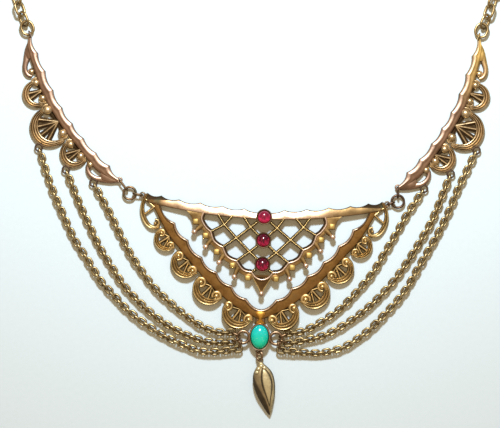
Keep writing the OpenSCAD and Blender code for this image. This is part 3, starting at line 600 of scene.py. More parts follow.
def makeBar():
    style, metal = barStyle, startPiece()
    edge = style["edge"]
    half = [p for a, b in zip(edge, edge[1:]) for p in scallopRun(a, b, -style["sag"], 9)] + [edge[-1]]
    rings, marks = [], []
    for x, top in mirrored(half[:0:-1]) + half:
        start, reach, outerShade, endPatinaAndShade, lost = style["right" if x > 0 else "left"]
        outer, corner, end = ramp(abs(x), start, reach), ramp(abs(x), *style["corner"]), ramp(abs(x), *style["end"])
        rise = (style["lowEnd"] - style["lowMiddle"]) * (abs(x) / style["lowReach"]) ** 2
        low = min(style["lowMiddle"] + rise, top - 0.5)
        ridge = top - style["ridgeBelow"]
        ridge += (min(ridge, style["ridgeLine"]) - ridge) * corner
        tip, crest = 0.4 - 0.32 * corner, 0.73 + 0.17 * outer
        # the painted highlight dims towards the ends of the bar, with painted shade in its place; the corners' bevels
        # get patina and painted shade
        dimmedHighlight = outerShade * outer + endPatinaAndShade * end, 0.75 * (1 - lost * outer) * (1 - end)
        rows = [(top, 0, 1, 0), (top, tip, 0.7, 0), (top - 0.08, tip + 0.1, 0.5 + 0.5 * corner, 0),
                (ridge + 0.06, crest - 0.05, 0.35 + 0.6 * corner, 0.2), (ridge - 0.06, crest, *dimmedHighlight),
                (low + (ridge - low) * 0.5, 0.5 + crest / 2, *dimmedHighlight), (low + 0.3, 1.0, *dimmedHighlight),
                (low + 0.12, 0.98, 0.1, 0.5), (low + 0.03, 0.88, 0.6, 0.1), (low, 0.7, 0.9, 0), (low, 0, 1, 0)]
        rings.append([(x, row[0], row[1] * style["height"]) for row in rows])
        marks.append([row[2:] for row in rows])
    addSkin(metal, onPlaque, rings, marks)
    # towards the right, the bar's unpolished metal is mixed towards a greyer tone
    greyedTone, polish = metal.verts.layers.float.new("greyedTone"), metal.verts.layers.float["polish"]
    for vert in metal.verts:
        vert[greyedTone] = style["fadeShare"] * (1 - vert[polish]) * ramp(vert.co.x / mm, *style["fade"])
    finishPiece(metal, "plaque_bar", ["satinBrass"], "plaque")


# scrolls along the outside of the frame, each a ribbed band that curls in at both ends

scrollStyle = {
    # first curl, second curl, outer radius, band width, curl radius
    "rows": [
        ((24.5, 6.1), (22.2, 3.1), 3.0, 1.35, 1.1),
        ((20.2, 0.7), (16.7, -2.8), 3.65, 1.9, 1.4),
        ((14.6, -5.4), (10.7, -8.6), 3.95, 2.05, 1.45),
        ((8, -10.8), (2.8, -13.95), 3.95, 2.15, 1.5),
    ],
    "height": 1.2,
    "ball": 0.46,
    # how far outside the middle the ribs meet, and how far a curl winds
    "apex": 0.9,
    "wind": 235,
    # share of the way along the lower rib, and angle
    "bars": [(0.0, 96), (0.1, 54)],
    "barHeight": 0.92,
    "shadeLow": 0.05,
    "shadeHigh": 0.7,
    # the last number is the share of a plain round ridge
    "corner": [(28.3, 15.3, 0.6, 1, 0), (29.1, 13.6, 0.9, 1, 0), (29.4, 11.6, 1.1, 1, 0), (28.85, 9.4, 1.25, 1, 0),
               (27.6, 7.65, 1.2, 1, 0.3), (26.1, 7.25, 1.05, 1, 1), (25.2, 8.1, 0.75, 1, 1), (25.4, 9.0, 0.6, 1, 1),
               (26.2, 9.25, 0.5, 1, 1)],
    "cornerCurl": (26.1, 8.35),
    "cornerBars": [(28.8, 14.1, 0.72), (26.5, 12.2, 0.85), (28.8, 10.3, 0.72)],
}


def voluteBand(first, second, radius, width, curl):
    # centre line of a band: in from one curl, round the outside and into the other
    middle = (first[0] + second[0]) / 2, (first[1] + second[1]) / 2
    facing, neck, arc = facingFrom(first, second), 0.4 * curl + 0.38, []
    for k in range(41):
        angle = 180 - 180 * k / 40
        swell = math.sin(math.radians(angle))
        wide = neck + (width - neck) * max(swell, 0) ** 0.75
        arc.append((*polar(middle, radius - wide / 2, facing + angle), wide, 1.0, max(0, 1 - swell * 2)))
    outside = radius - math.dist(first, second) / 2

    def curlIn(centre, start, way):
        # the band narrows as it winds round the ball
        rows = []
        for share in [k / 18 for k in range(1, 19)]:
            wide = neck - 0.12 * share
            edge = outside + (curl - outside) * min(share * 2, 1)
            angle = facing + start + way * scrollStyle["wind"] * share
            rows.append((*polar(centre, edge - wide / 2, angle), wide, 1.0 + 0.08 * share, 1))
        return rows

    return curlIn(first, 180, 1)[::-1] + arc + curlIn(second, 0, -1), middle, facing


def makeScrolls():
    style, metal = scrollStyle, startPiece()
    ribbed, cornerRibbed, high = ribbedProfile(3, rise=0.29), ribbedProfile(2), style["height"]
    low, shade, barHeight = style["shadeLow"], style["shadeHigh"], style["barHeight"]
    for place in plaqueHalves:
        for first, second, radius, width, curl in style["rows"]:
            path, middle, facing = voluteBand(first, second, radius, width, curl)
            addBand(metal, place, path, ribbed, high, 0, roundedProfile(ribbed))
            hx, hy = heading(first, second)
            apex = middle[0] + hy * style["apex"], middle[1] - hx * style["apex"]
            # black strips under the bars, and from the meeting point to each curl, are painted shade in the openings
            for share, turn in style["bars"]:
                top = between(apex, second, share)
                foot = polar(middle, radius - width + 0.2 + 5 * share, facing + turn)
                addShadeWall(metal, place, [top, foot], 0.9 - 2 * share, low, 0.75)
                addWire(metal, place, [top + (barHeight,), foot + (barHeight,)], 0.42 - 0.8 * share, (0, 1))
            for end in first, second:
                addDome(metal, place, end + (0.1,), style["ball"] * curl, high * 1.2)
                addShadeWall(metal, place, [apex, end], 0.7, low, shade)
                addWire(metal, place, [apex + (0.82,), end + (0.78,)], 0.3, (0.3, 0.5))
        addBand(metal, place, smoothRows(style["corner"], 5), cornerRibbed, high, 0, roundedProfile(cornerRibbed))
        addDome(metal, place, style["cornerCurl"] + (0.1,), 0.42, high * 1.15)
        # black strips under the corner's bars are painted shade
        for bar in style["cornerBars"][:2], style["cornerBars"][1:]:
            addShadeWall(metal, place, bar, 0.55, low, shade)
            addWire(metal, place, bar, 0.42, (0, 0.9))
    finishPiece(metal, "plaque_scrolls", ["scrollGold"], "plaque")


# trellis: beaded wires that cross, plain arches, plates with studs and ball feet

trellisStyle = {
    "height": 1.1,
    "low": -0.3,
    "wires": [
        [(11, 10.9), (9.5, 8.6), (6.5, 5.5), (3.2, 2.3), (1.35, 0.75)],
        [(4.8, 10.5), (3.2, 8.2), (1.35, 6.55)],
        [(7.6, 10.8), (9.5, 8.6), (12.7, 6.8)],
        [(1.5, 9.6), (3.2, 8.2), (6.5, 5.5), (9.7, 3.2)],
        [(1.35, 3.85), (3.2, 2.3), (6.3, 0)],
        [(1.45, -1.85), (2.6, -2.5)],
    ],
    "arches": [
        [(14.6, 11.3), (15, 9.7), (13.9, 7.8), (12.7, 6.8)],
        [(12.7, 6.8), (12, 4.8), (10.8, 3.7), (9.7, 3.2)],
        [(9.7, 3.2), (8.8, 1.3), (7.6, 0.4), (6.3, 0)],
        [(6.3, 0), (4.9, -1.8), (3.8, -2.4), (2.6, -2.5)],
    ],
    "middleArch": [(-2.6, -2.5), (-1.5, -3.8), (0, -4.3), (1.5, -3.8), (2.6, -2.5)],
    # stud, ball and the place beside the arch where the ball's leg starts
    "feet": [((16.4, 9.1), (16.6, 6.6), (14.8, 8.2)), ((13.9, 5.8), (13.8, 3.1), (12.2, 5.1)),
             ((11.1, 2), (10.4, -0.5), (9.2, 1.4)), ((7.2, -1.1), (6.6, -3.8), (5.6, -1.5))],
    "endStud": (3.4, -4),
    "endPlate": [(2.2, -3.1), (3.2, -2.9), (4.2, -3.3), (4.1, -4.4), (2.65, -4.5), (2.1, -3.9)],
    "endBall": (0, -7.6),
    # the plate between the middle arch and the lowest ball: its upper edge and its side
    "pointTop": [(0, -4.4), (1.5, -3.9)],
    "pointSide": [(2.45, -3), (2.0, -4.1), (1.15, -5.5), (0.5, -6.6), (0.22, -7.5)],
    # plate that joins the first stud to the bar
    "wedge": [(18.9, 12.0), (17.6, 10.4), (16.8, 8.3), (15.4, 8.4), (14.9, 8.7), (15.1, 9.8), (14.5, 11.5)],
    "archWire": 0.46,
    "archShade": 0.5,
    "wireShade": 0.72,
    # how far inside the arch its black ledge of painted shade lies, and its width
    "ledge": (0.42, 0.44),
    "plateWidth": 1.05,
    "plateDeep": 0.9,
    "plateHalf": 0.72,
    "studHalf": 0.6,
    # radius and height
    "ball": (0.72, 1.15),
    "lowestBall": (0.7, 1.05),
    "beadSize": 0.46,
    "beadPitch": 0.36,
}


def makeTrellis():
    style, metal = trellisStyle, startPiece()
    high, low, plateLow = style["height"], style["low"], style["height"] - style["plateDeep"]
    arches = [smoothRows(arch, 6) for arch in style["arches"]]
    middleArch, side = smoothRows(style["middleArch"], 6), smoothRows(style["pointSide"], 3)
    for place in plaqueHalves:
        # black strips under the wires and arches, painted shade
        for wire in style["wires"]:
            addShadeWall(metal, place, wire, style["wireShade"], low, high)
        for path, (stud, ball, root) in zip(arches, style["feet"]):
            addShadeWall(metal, place, path, style["archShade"], low, high)
            # a black ledge of painted shade inside the arch, a plate along its outside and a leg to the ball
            addShadeWall(metal, place, shifted(path, -style["ledge"][0]), style["ledge"][1], low, high)
            outside = shifted(path, style["plateWidth"])
            addPlate(metal, place, path + outside[::-1], plateLow, high + 0.02, 0.1, (0.2, 0.25))
            addPlate(metal, place, squareAt(stud, style["plateHalf"]), plateLow, high + 0.04, 0.1)
            knee = (root[0] + ball[0]) / 2 + 0.2, (root[1] + ball[1]) / 2 - 0.1, 1.05
            addBand(metal, place, smoothRows([root + (1.6,), knee, ball + (0.75,)], 4), legProfile, 1.1, high - 0.95)
        addPlate(metal, place, style["wedge"], plateLow, high + 0.03, 0.12, (0.15, 0.4))
        addPlate(metal, place, style["endPlate"], high - 0.5, high + 0.04, 0.12)
        addWire(metal, place, [p + (high + 0.02,) for p in side], 0.34, (0.1, 0.7))
    # a black strip of painted shade under the middle arch
    addShadeWall(metal, onPlaque, middleArch, style["archShade"], low, high)
    outline = smoothRows(style["pointTop"], 3) + side
    addPlate(metal, onPlaque, outline + mirrored(outline[:0:-1]), high - 0.5, high, 0.2, (0.7, 0))
    # bright arches and small balls
    count = len(metal.faces)
    for place in plaqueHalves:
        for path, (stud, ball, root) in zip(arches, style["feet"]):
            addWire(metal, place, [p + (high + 0.12,) for p in path], style["archWire"], (0, 1), 12)
            addDome(metal, place, ball + (high - 0.45,), *style["ball"])
    addWire(metal, onPlaque, [p + (high + 0.12,) for p in middleArch], style["archWire"], (0, 1), 12)
    addDome(metal, onPlaque, style["endBall"] + (high - 0.5,), *style["lowestBall"])
    paintFrom(metal, count, 2)
    count = len(metal.faces)
    for place in plaqueHalves:
        for p in [foot[0] for foot in style["feet"]] + [style["endStud"]]:
            addStud(metal, place, p, high - 0.25, style["studHalf"])
    paintFrom(metal, count, 1)
    finishPiece(metal, "plaque_trellis", ["trellisBrass", "studGold", "rosyGold"], "plaque")


# geometry node trees: beaded wire and chain links


def runNodes(name, tree, runs, values, node):
    # lays the tree on runs of points in metres, sets its inputs and keeps the result as a plain mesh
    base = bpy.data.curves.new(name, "CURVE")
    base.dimensions = "3D"
    for run in runs:
        line = base.splines.new("POLY")
        line.points.add(len(run) - 1)
        for point, p in zip(line.points, run):
            point.co = (*p, 1)
    carrier = bpy.data.objects.new(name + "Path", base)
    bpy.context.collection.objects.link(carrier)
    modifier = carrier.modifiers.new("build", "NODES")
    modifier.node_group = tree
    for item in tree.interface.items_tree:
        if item.in_out == "INPUT" and item.name in values:
            modifier[item.identifier] = values[item.name]
    bpy.context.view_layer.update()
    mesh = bpy.data.meshes.new_from_object(carrier.evaluated_get(bpy.context.evaluated_depsgraph_get()))
    mesh.name = name
    carrier.modifiers.remove(modifier)
    bpy.data.objects.remove(carrier)
    mesh.polygons.foreach_set("use_smooth", [True] * len(mesh.polygons))
    handOver(name, mesh, node)


def pointPlace(tree):
    return addNode(tree, "GeometryNodeInputPosition").outputs[0]


def storeFloat(tree, geometry, name, value, domain="POINT"):
    return addNode(tree, "GeometryNodeStoreNamedAttribute", {"Geometry": geometry, "Name": name, "Value": value},
                   data_type="FLOAT", domain=domain).outputs["Geometry"]


def randomFloat(tree, low, high, seed):
    # sockets 2 and 3 are the limits of a float, and output 1 is its value
    return addNode(tree, "FunctionNodeRandomValue", {2: low, 3: high, "Seed": seed}, data_type="FLOAT").outputs[1]


def lastSteps(tree, geometry, look):
    real = addNode(tree, "GeometryNodeRealizeInstances", {0: geometry}).outputs[0]
    paint = addNode(tree, "GeometryNodeSetMaterial", {"Geometry": real, "Material": bpy.data.materials[look]})
    addNode(tree, "NodeGroupOutput", {0: paint.outputs[0]})
    return tree


def buildBeadedWire(look):
    tree, given = newGroup("beadedWire", "GeometryNodeTree",
                           {"Geometry": ["Runs"], "Float": ("Bead Size", "Bead Pitch"), "Int": ["Seed"]},
                           {"Geometry": ["Geometry"]})
    spaced = addNode(tree, "GeometryNodeResampleCurve", {"Curve": given["Runs"], "Length": given["Bead Pitch"]},
                     mode="LENGTH")
    bead = addNode(tree, "GeometryNodeMeshUVSphere",
                   {"Segments": 10, "Rings": 6, "Radius": times(tree, given["Bead Size"], 0.5)}).outputs["Mesh"]
    # painted shade below and a painted highlight above
    up = axisOf(tree, pointPlace(tree), "Z")
    bead = storeFloat(tree, bead, "patina", spread(tree, up, -0.00005, 0.00012, 0.9, 0.0, "LINEAR"))
    bead = storeFloat(tree, bead, "polish", spread(tree, up, 0.0, 0.0002, 0.2, 1.0, "LINEAR"))
    size = randomFloat(tree, 0.92, 1.05, given["Seed"])
    placed = addNode(tree, "GeometryNodeInstanceOnPoints",
                     {"Points": spaced.outputs["Curve"], "Instance": bead, "Scale": size})
    return lastSteps(tree, placed.outputs["Instances"], look)


def makeBeads():
    style = trellisStyle
    runs = [[place(p + (style["height"] + 0.06,)) for p in wire] for place in plaqueHalves for wire in style["wires"]]
    runNodes("plaque_beaded_wires", buildBeadedWire("trellisBrass"), runs,
             {"Bead Size": style["beadSize"] * mm, "Bead Pitch": style["beadPitch"] * mm, "Seed": 4},
             "plaque")


# settings: cups for the stones, rings and eyes

settingStyle = {
    "red": [(0, 10.8), (0, 5.2), (0, -0.6)],
    "redRadius": 1.5,
    "blue": (0, -18),
    "blueHalf": (2.15, 2.9),
    "gap": 0.12,
    "wall": 0.3,
    "seat": 1.35,
    "collar": [(0, -13.5, 2.4), (0, -14.1, 2.2), (0, -14.9, 2.6)],
    "collarProfile": [(0.5, 0, 1, 0), (0.5, 0.7, 0.8, 0), (0.35, 0.95, 0.2, 0.4), (0, 1, 0.1, 0.5)],
    "ringReach": 3.95,
    "ringDrop": 0.2,
    "ringRadius": 1.44,
    "ringWire": 0.78,
    "ringHeight": 0.55,
    # radius and wire
    "eye": (0.55, 0.4),
    "lowEye": (0.66, 0.42),
    "eyeDrop": 3.62,
    "cornerEye": (29.4, 15, 0.95),
}


def makeSettings():
    style, metal = settingStyle, startPiece()
    r, seat = style["redRadius"] + style["gap"], style["seat"]
    wall = r + style["wall"]
    # back, outer wall, rounded lip, inner wall down to the seat
    cup = [(0, 0.3, 1, 0), (wall, 0.3, 1, 0), (wall, seat + 0.28, 0.9, 0.1), (wall - 0.03, seat + 0.4, 0.6, 0.3),
           (wall - 0.1, seat + 0.5, 0.75, 0.4), (r + 0.1, seat + 0.5, 0.75, 0.3), (r, seat + 0.44, 0.9, 0.1),
           (r, seat, 1, 0), (0, seat, 1, 0)]
    for p in style["red"]:
        addTurned(metal, onPlaque, p + (0,), cup, 36)
    bx, by = style["blue"]
    hx, hy = style["blueHalf"]
    w = hx + style["gap"] + style["wall"]
    cup = [(0, 0, 1, 0), (w, 0, 1, 0), (w, 1.0, 0.8, 0.1), (w - 0.04, 1.2, 0.15, 0.7), (w - 0.13, 1.35, 0, 1),
           (w - 0.25, 1.34, 0.1, 0.7), (w - 0.31, 1.22, 0.8, 0), (w - 0.31, 0.5, 1, 0), (0, 0.5, 1, 0)]
    addTurned(metal, onPlaque, (bx, by, 0), cup, 48, (1, (hy + 0.42) / (hx + 0.42)))
    # collar between the frame's foot and the cup
    addBand(metal, onPlaque, style["collar"], bothSides(style["collarProfile"]), 0.9)
    count = len(metal.faces)
    x, y, z = style["cornerEye"]
    for side in (-1, 1):
        addEye(metal, onPlaque, (bx + side * style["ringReach"], by - style["ringDrop"], style["ringHeight"]),
               style["ringRadius"], style["ringWire"], 40, 12, (0.25, 0.9))
        addEye(metal, onPlaque, (side * x, y, z), *style["eye"])
    addEye(metal, onPlaque, (bx, by - style["eyeDrop"], style["ringHeight"]), *style["lowEye"], mark=(0.4, 0.4))
    paintFrom(metal, count, 1)
    finishPiece(metal, "plaque_settings", ["satinBrass", "linkBrass"], "plaque")


# side pieces: a bevelled wavy rim, a satin face, ribbed fans with round balls, and leaves at both ends

sideStyle = {
    "inner": [(0.5, 0.4), (2.1, -3.7), (3.9, -8.1), (5.8, -12.7), (8, -17), (10.5, -20.8), (13.2, -24.4), (16.3, -28),
              (19.6, -31.1), (21.8, -34.2)],
    "outer": [(-0.2, 0.3), (-0.5, -2.6), (0.3, -5.4), (1.9, -10.2), (3.3, -14), (5.2, -17.4), (7.6, -21.2),
              (9.2, -23.4), (10.9, -25.6), (13.8, -29.2), (15.9, -31.9), (17.6, -33.2), (21.4, -35.1)],
    "steps": (0, 0.03, 0.15, 0.29, 0.43, 0.57, 0.71, 0.85, 0.97),
    "sag": 0.5,
    "height": 1.3,
    "rimWidth": 1.15,
    # share of the rim's width, patina and painted shade, polish and painted highlight
    "rim": [(0.04, 0.5, 0.3), (0.14, 0.2, 0.5), (0.3, 0, 0.8), (0.48, 0, 0.9), (0.68, 0, 0.55), (0.88, 0, 0.4)],
    # share of the face's width, height, patina and painted shade, polish and painted highlight
    "face": [(0, 0.99, 0.05, 0.25), (0.06, 0.97, 0.2, 0.1), (0.16, 0.955, 0.1, 0), (0.5, 0.95, 0, 0.05),
             (0.85, 0.93, 0.05, 0), (0.95, 0.85, 0.35, 0), (1, 0.66, 0.9, 0), (1, 0, 1, 0)],
    # middle, outer radius, from angle, to angle, band width, meeting point of the ribs, rib angles
    "fans": [
        ((1.6, -13.7), 3.4, 95, 305, 1.8, (3.2, -12.7), (175, 220)),
        ((5, -21.8), 5, 105, 318, 2.3, (7, -20.4), (144, 176, 222, 262)),
        ((10.8, -28.3), 3.5, 120, 340, 1.9, (12.6, -27.2), (180, 230)),
    ],
    # x, y, radius and the fan whose band hooks round the ball
    "balls": [(0.5, -8.2, 0.9, None), (1.6, -10.9, 1, 0), (3.2, -14.7, 1, 0), (4.4, -17.6, 1.25, 1),
              (8.1, -23.2, 1.15, 1), (10, -26, 1.05, 2), (12.5, -28.8, 1.05, 2), (14.8, -30.9, 0.95, None)],
    "leaves": [[(-0.2, -1.2, 0.7), (-0.45, -2.6, 1.3), (-0.6, -4, 1.5), (-0.83, -5.5, 1.45), (-1.12, -6.9, 1.25),
                (-0.95, -8.2, 1.15), (-0.3, -9.1, 1.05), (0.6, -9.35, 0.8)],
               [(14.1, -31.0, 0.8), (14.2, -32.2, 1.05), (14.85, -33.4, 1.2), (16.2, -34.25, 1.25),
                (17.9, -34.5, 1.6), (19.7, -34.8, 1.4), (21.5, -34.9, 0.9)]],
    # flat metal that joins each leaf to the face
    "webs": [[(0, -0.4), (0.2, -2.7), (0.7, -4.8), (0.1, -5.1), (-0.6, -5.0), (-0.9, -3.6), (-0.5, -1.4)],
             [(17.4, -32.9), (19.2, -33.4), (21.9, -34.6), (21.6, -35.1), (19.4, -35.1), (17.7, -34.6),
              (17.3, -33.8)]],
    "loops": [(2.3, -26.7), (8.9, -32.1), (15.6, -35.3)],
    # radius and wire
    "loop": (0.85, 0.46),
    "smallEye": (0.55, 0.4),
    "uprightEye": (0.75, 0.45),
    "notchShade": 0.7,
    "eyeHeight": 0.95,
    "lowerEye": (22, -34.6),
    "upperEyeTurn": math.radians(20),
    # as high as the neck chain lies in the source
    "upperEyeHeight": ((3.1 - 0.68) * math.sin(math.radians(45)) + 0.68) / 2,
    "yellowReach": 0.016,
}


def addFan(metal, place, fan):
    style, (middle, radius, fromAngle, toAngle, width, apex, ribs) = sideStyle, sideStyle["fans"][fan]
    big, path = width > 2, []
    for share in [k / 36 for k in range(37)]:
        swell = math.sin(math.pi * share)
        wide = width * (0.5 + 0.5 * swell)
        x, y = polar(middle, radius - wide / 2, fromAngle + (toAngle - fromAngle) * share)
        path.append((x, y, wide, 1.0, max(0, 1 - 3.3 * swell)))
    ribbed = ribbedProfile(4 if big else 3, samples=5, groove=3.2)
    addBand(metal, place, path, ribbed, style["height"] * 0.95, 0, roundedProfile(ribbed))
    for angle in ribs:
        swell = math.sin(math.pi * (angle - fromAngle) / (toAngle - fromAngle))
        tip = polar(middle, radius - width * (0.5 + 0.5 * swell) + 0.1, angle)
        # a black strip under the rib, painted shade in the deep opening
        addBand(metal, place, [apex + (0.85,), tip + (1.45 if big else 1.15,)], paintedShadeProfile, 0.75, 0.05)
        bar = [between(apex, tip, s) + (0.85 + 0.12 * (1 - s),) for s in (0, 0.3, 0.6, 1)]
        addWire(metal, place, bar, [0.44, 0.36, 0.36, 0.4], (0, 1))
    for x, y, r, owner in style["balls"]:
        if owner == fan:
            # a black strip to the ball as painted shade, and the end of the band hooked round it
            addBand(metal, place, [apex + (0.8,), (x, y, 1.3)], paintedShadeProfile, 0.55, 0.05)
            facing = facingFrom(middle, (x, y))
            hook = [polar((x, y), r + 0.14, facing + turn) + (0.7,) for turn in range(-100, 101, 20)]
            addWire(metal, place, hook, [0.3 + 0.3 * math.sin(math.pi * k / 10) for k in range(11)], (0, 0.9), 12)


def makeSide(name, place, node):
    style, metal = sideStyle, startPiece()
    inner, high, steps = style["inner"], style["height"], style["steps"]
    edge = [p for a, b in zip(inner, inner[1:]) for p in scallopRun(a, b, -style["sag"], steps)] + [inner[-1]]
    along = [(k + u) / (len(inner) - 1) for k in range(len(inner) - 1) for u in steps] + [1]
    outer, cuts = smoothRows(style["outer"], 8), []
    for i, (a, share) in enumerate(zip(edge, along)):
        b = atShare(outer, share)
        wide = math.dist(a, b)
        rim = min(style["rimWidth"], wide * 0.5)
        # a small dark line across the bevel where two scallops meet, painted shade for a notch
        notchShade = style["notchShade"] if i % len(steps) == 0 else 0
        rows = [(0, 0, 1, 0), (0, 0.5, 0.8, 0.1)]
        for s, patina, polish in style["rim"]:
            up = 0.58 + 0.42 * math.sqrt(1 - (1 - s) ** 2)
            rows.append((rim * s, up, min(patina + notchShade, 1), polish * (1 - notchShade)))
        rows += [(rim + (wide - rim) * s, *row) for s, *row in style["face"]]
        cuts.append(crossCut(a, b, rows, high))
    addSkin(metal, place, *zip(*cuts))
    for leaf in style["leaves"]:
        addBand(metal, place, smoothRows(leaf, 6), leafProfile, high * 0.86)
    for web in style["webs"]:
        addPlate(metal, place, web, 0, high * 0.92, 0.08, (0.05, 0.1))
    count = len(metal.faces)
    for fan in range(len(style["fans"])):
        addFan(metal, place, fan)
    for x, y, r, owner in style["balls"]:
        addDome(metal, place, (x, y, 0.05), r, 1.45 * r + 0.1, 0.9, 28, 9)
    paintFrom(metal, count, 1)
    for p in style["loops"]:
        addEye(metal, place, p + (style["eyeHeight"],), *style["loop"], mark=(0.85, 0.3))
    addEye(metal, place, style["lowerEye"] + (style["eyeHeight"],), *style["smallEye"])

    def onEdge(p):
        # the upper eye stands on edge in the neck chain's ring
        x, y = turnedAbout(sidePlace["upperEye"], p[2], p[1], style["upperEyeTurn"])
        return place((x, y, style["upperEyeHeight"] - p[0]))

    addEye(metal, onEdge, (0, 0, 0), *style["uprightEye"])
    if place is onSideRight:
        # the unpolished metal near the upper end of this piece is mixed towards a brighter yellow
        yellowTint, polish = metal.verts.layers.float.new("yellowTint"), metal.verts.layers.float["polish"]
        top = place((0, 0, 0)).y
        for vert in metal.verts:
            vert[yellowTint] = (1 - vert[polish]) * max(0, 1 - (top - vert.co.y) / style["yellowReach"])
    finishPiece(metal, name, ["sideBrass", "fanGold"], node)


# drop: a bud with a raised almond panel, a cap and grains at its shoulder

dropStyle = {
    "turn": math.radians(10),
    # across and along from the eye below the oval stone, and height
    "eye": (0.25, -2, 1.35),
    "start": -0.55,
    "length": 12.8,
    "half": 2.6,
    "middle": 1.5,
    "rise": 0.98,
    "droop": 0.8,
    # share of the length, of the half width and of the height
    "rows": [(0, 0.2, 0.34), (0.05, 0.36, 0.5), (0.1, 0.56, 0.66), (0.18, 0.82, 0.86), (0.28, 0.97, 0.97), (0.4, 1, 1),
             (0.52, 0.93, 0.96), (0.66, 0.76, 0.82), (0.8, 0.52, 0.62), (0.92, 0.28, 0.42), (1, 0.08, 0.22)],
    # where the raised panel starts and ends, its half width and how far it sits to the right
    "panel": (0.07, 0.86, 0.44, 0.27),
    # radius and distance down
    "cap": [(0.3, 0.1), (0.62, 0.3), (0.85, 0.65), (1.0, 1.0), (0.95, 1.15), (0.4, 1.2)],
    "grains": [(-1.2, 0.17), (-0.7, 0.11), (0.0, 0.07), (0.7, 0.11)],
    # radius and wire
    "topEye": (0.62, 0.42),
    "grain": (0.52, 0.68),
    "linkHalf": (0.62, 0.85),
    "linkWire": 0.58,
}


def dropRing(row):
    # one section of the bud, with its marks
    style, (share, halfShare, highShare) = dropStyle, row
    start, end, wide, right = style["panel"]
    section = [(u, math.sqrt(max(0, 1 - u ** 2))) for u in [1 - k / 24 for k in range(49)]]
    section += [(-math.cos(math.pi * k / 14), -math.sin(math.pi * k / 14)) for k in range(1, 14)]
    panel = wide * math.sin(math.pi * ramp(share, start, end - start) ** 0.75)
    # the tip rests on the table
    drop = min(style["droop"] * share ** 2, max(style["middle"] * (1 - highShare * style["rise"]) - 0.02, 0))
    ring, marks = [], []
    for x, up in section:
        # the flanks are darkened as painted shade, more on the left and wider towards the tip; the right side gets a
        # painted highlight, and the creases beside the panel painted shade
        edge = max(-x - 0.92 + 1.35 * max(share - 0.12, 0), 2 * x - 1.68)
        mark = (min(max(edge * 6, 0.05), 0.95), 0.25 if x < 0.5 else 0.8)
        if up > 0:
            across = abs(x - right)
            groove = math.exp(-((across - panel) / 0.07) ** 2) if panel > 0.03 else 0
            up = up ** 0.8 - 0.2 * groove
            shade = min(1.4 * groove, 1)
            mark = (shade, 1.0) if across < panel else (max(mark[0], shade), mark[1])
        ring.append((x * style["half"] * halfShare, style["start"] - share * style["length"],
                     style["middle"] * (1 + up * highShare * style["rise"]) - drop))
        marks.append(mark)
    return ring, marks


def makeDrop():
    style, metal = dropStyle, startPiece()
    bx, by = settingStyle["blue"]
    stoneEye = onPlaque((bx, by - settingStyle["eyeDrop"], 0)) / mm
    eyeX, eyeY, eyeZ = stoneEye.x + style["eye"][0], stoneEye.y + style["eye"][1], style["eye"][2]

    def place(p):
        return Vector((*turnedAbout((eyeX, eyeY), p[0], p[1], style["turn"]), p[2])) * mm

    rows = smoothRows(style["rows"], 5)
    addSkin(metal, place, *zip(*(dropRing(row) for row in rows)))
    addEye(metal, place, (0, 0, eyeZ), *style["topEye"], mark=(0.4, 0.4))
    # bell of the cap and the grains below it
    cap = [[(r * math.cos(t), -0.5 - down, eyeZ + 0.05 + r * 0.8 * math.sin(t)) for t in roundTurns(20)]
           for r, down in style["cap"]]
    addSkin(metal, place, cap, [(0.3, 0.5)] * 20)
    for x, share in style["grains"]:
        row = min(rows, key=lambda r: abs(r[0] - share))
        up = max(0.05, 1 - (x / style["half"] / row[1]) ** 2) ** 0.4
        z = style["middle"] * (1 + up * row[2] * style["rise"])
        addDome(metal, place, (x, style["start"] - share * style["length"], z - 0.3), *style["grain"], 1.0, 14, 5)
    finishPiece(metal, "drop_bud", ["dropBronze"], "drop")
    # heavy oval link between the oval stone's eye and the drop
    link, (halfX, halfY) = startPiece(), style["linkHalf"]
    middleX, middleY = (stoneEye.x + eyeX) / 2, (stoneEye.y + eyeY) / 2
    points = []
    for t in roundTurns(28):
        x, y = halfX * math.cos(t), halfY * math.sin(t)
        points.append((middleX + x * 1.05 + y * 0.1, middleY + y * 1.15, 1.5 + x * 0.6))
    addWire(link, lambda p: Vector(p) * mm, points, style["linkWire"], (0.35, 0.6), 12, True)
    finishPiece(link, "drop_oval_link", ["linkBrass"], "drop_link")


# chain: oval links laid flat and on edge in turn along each swag

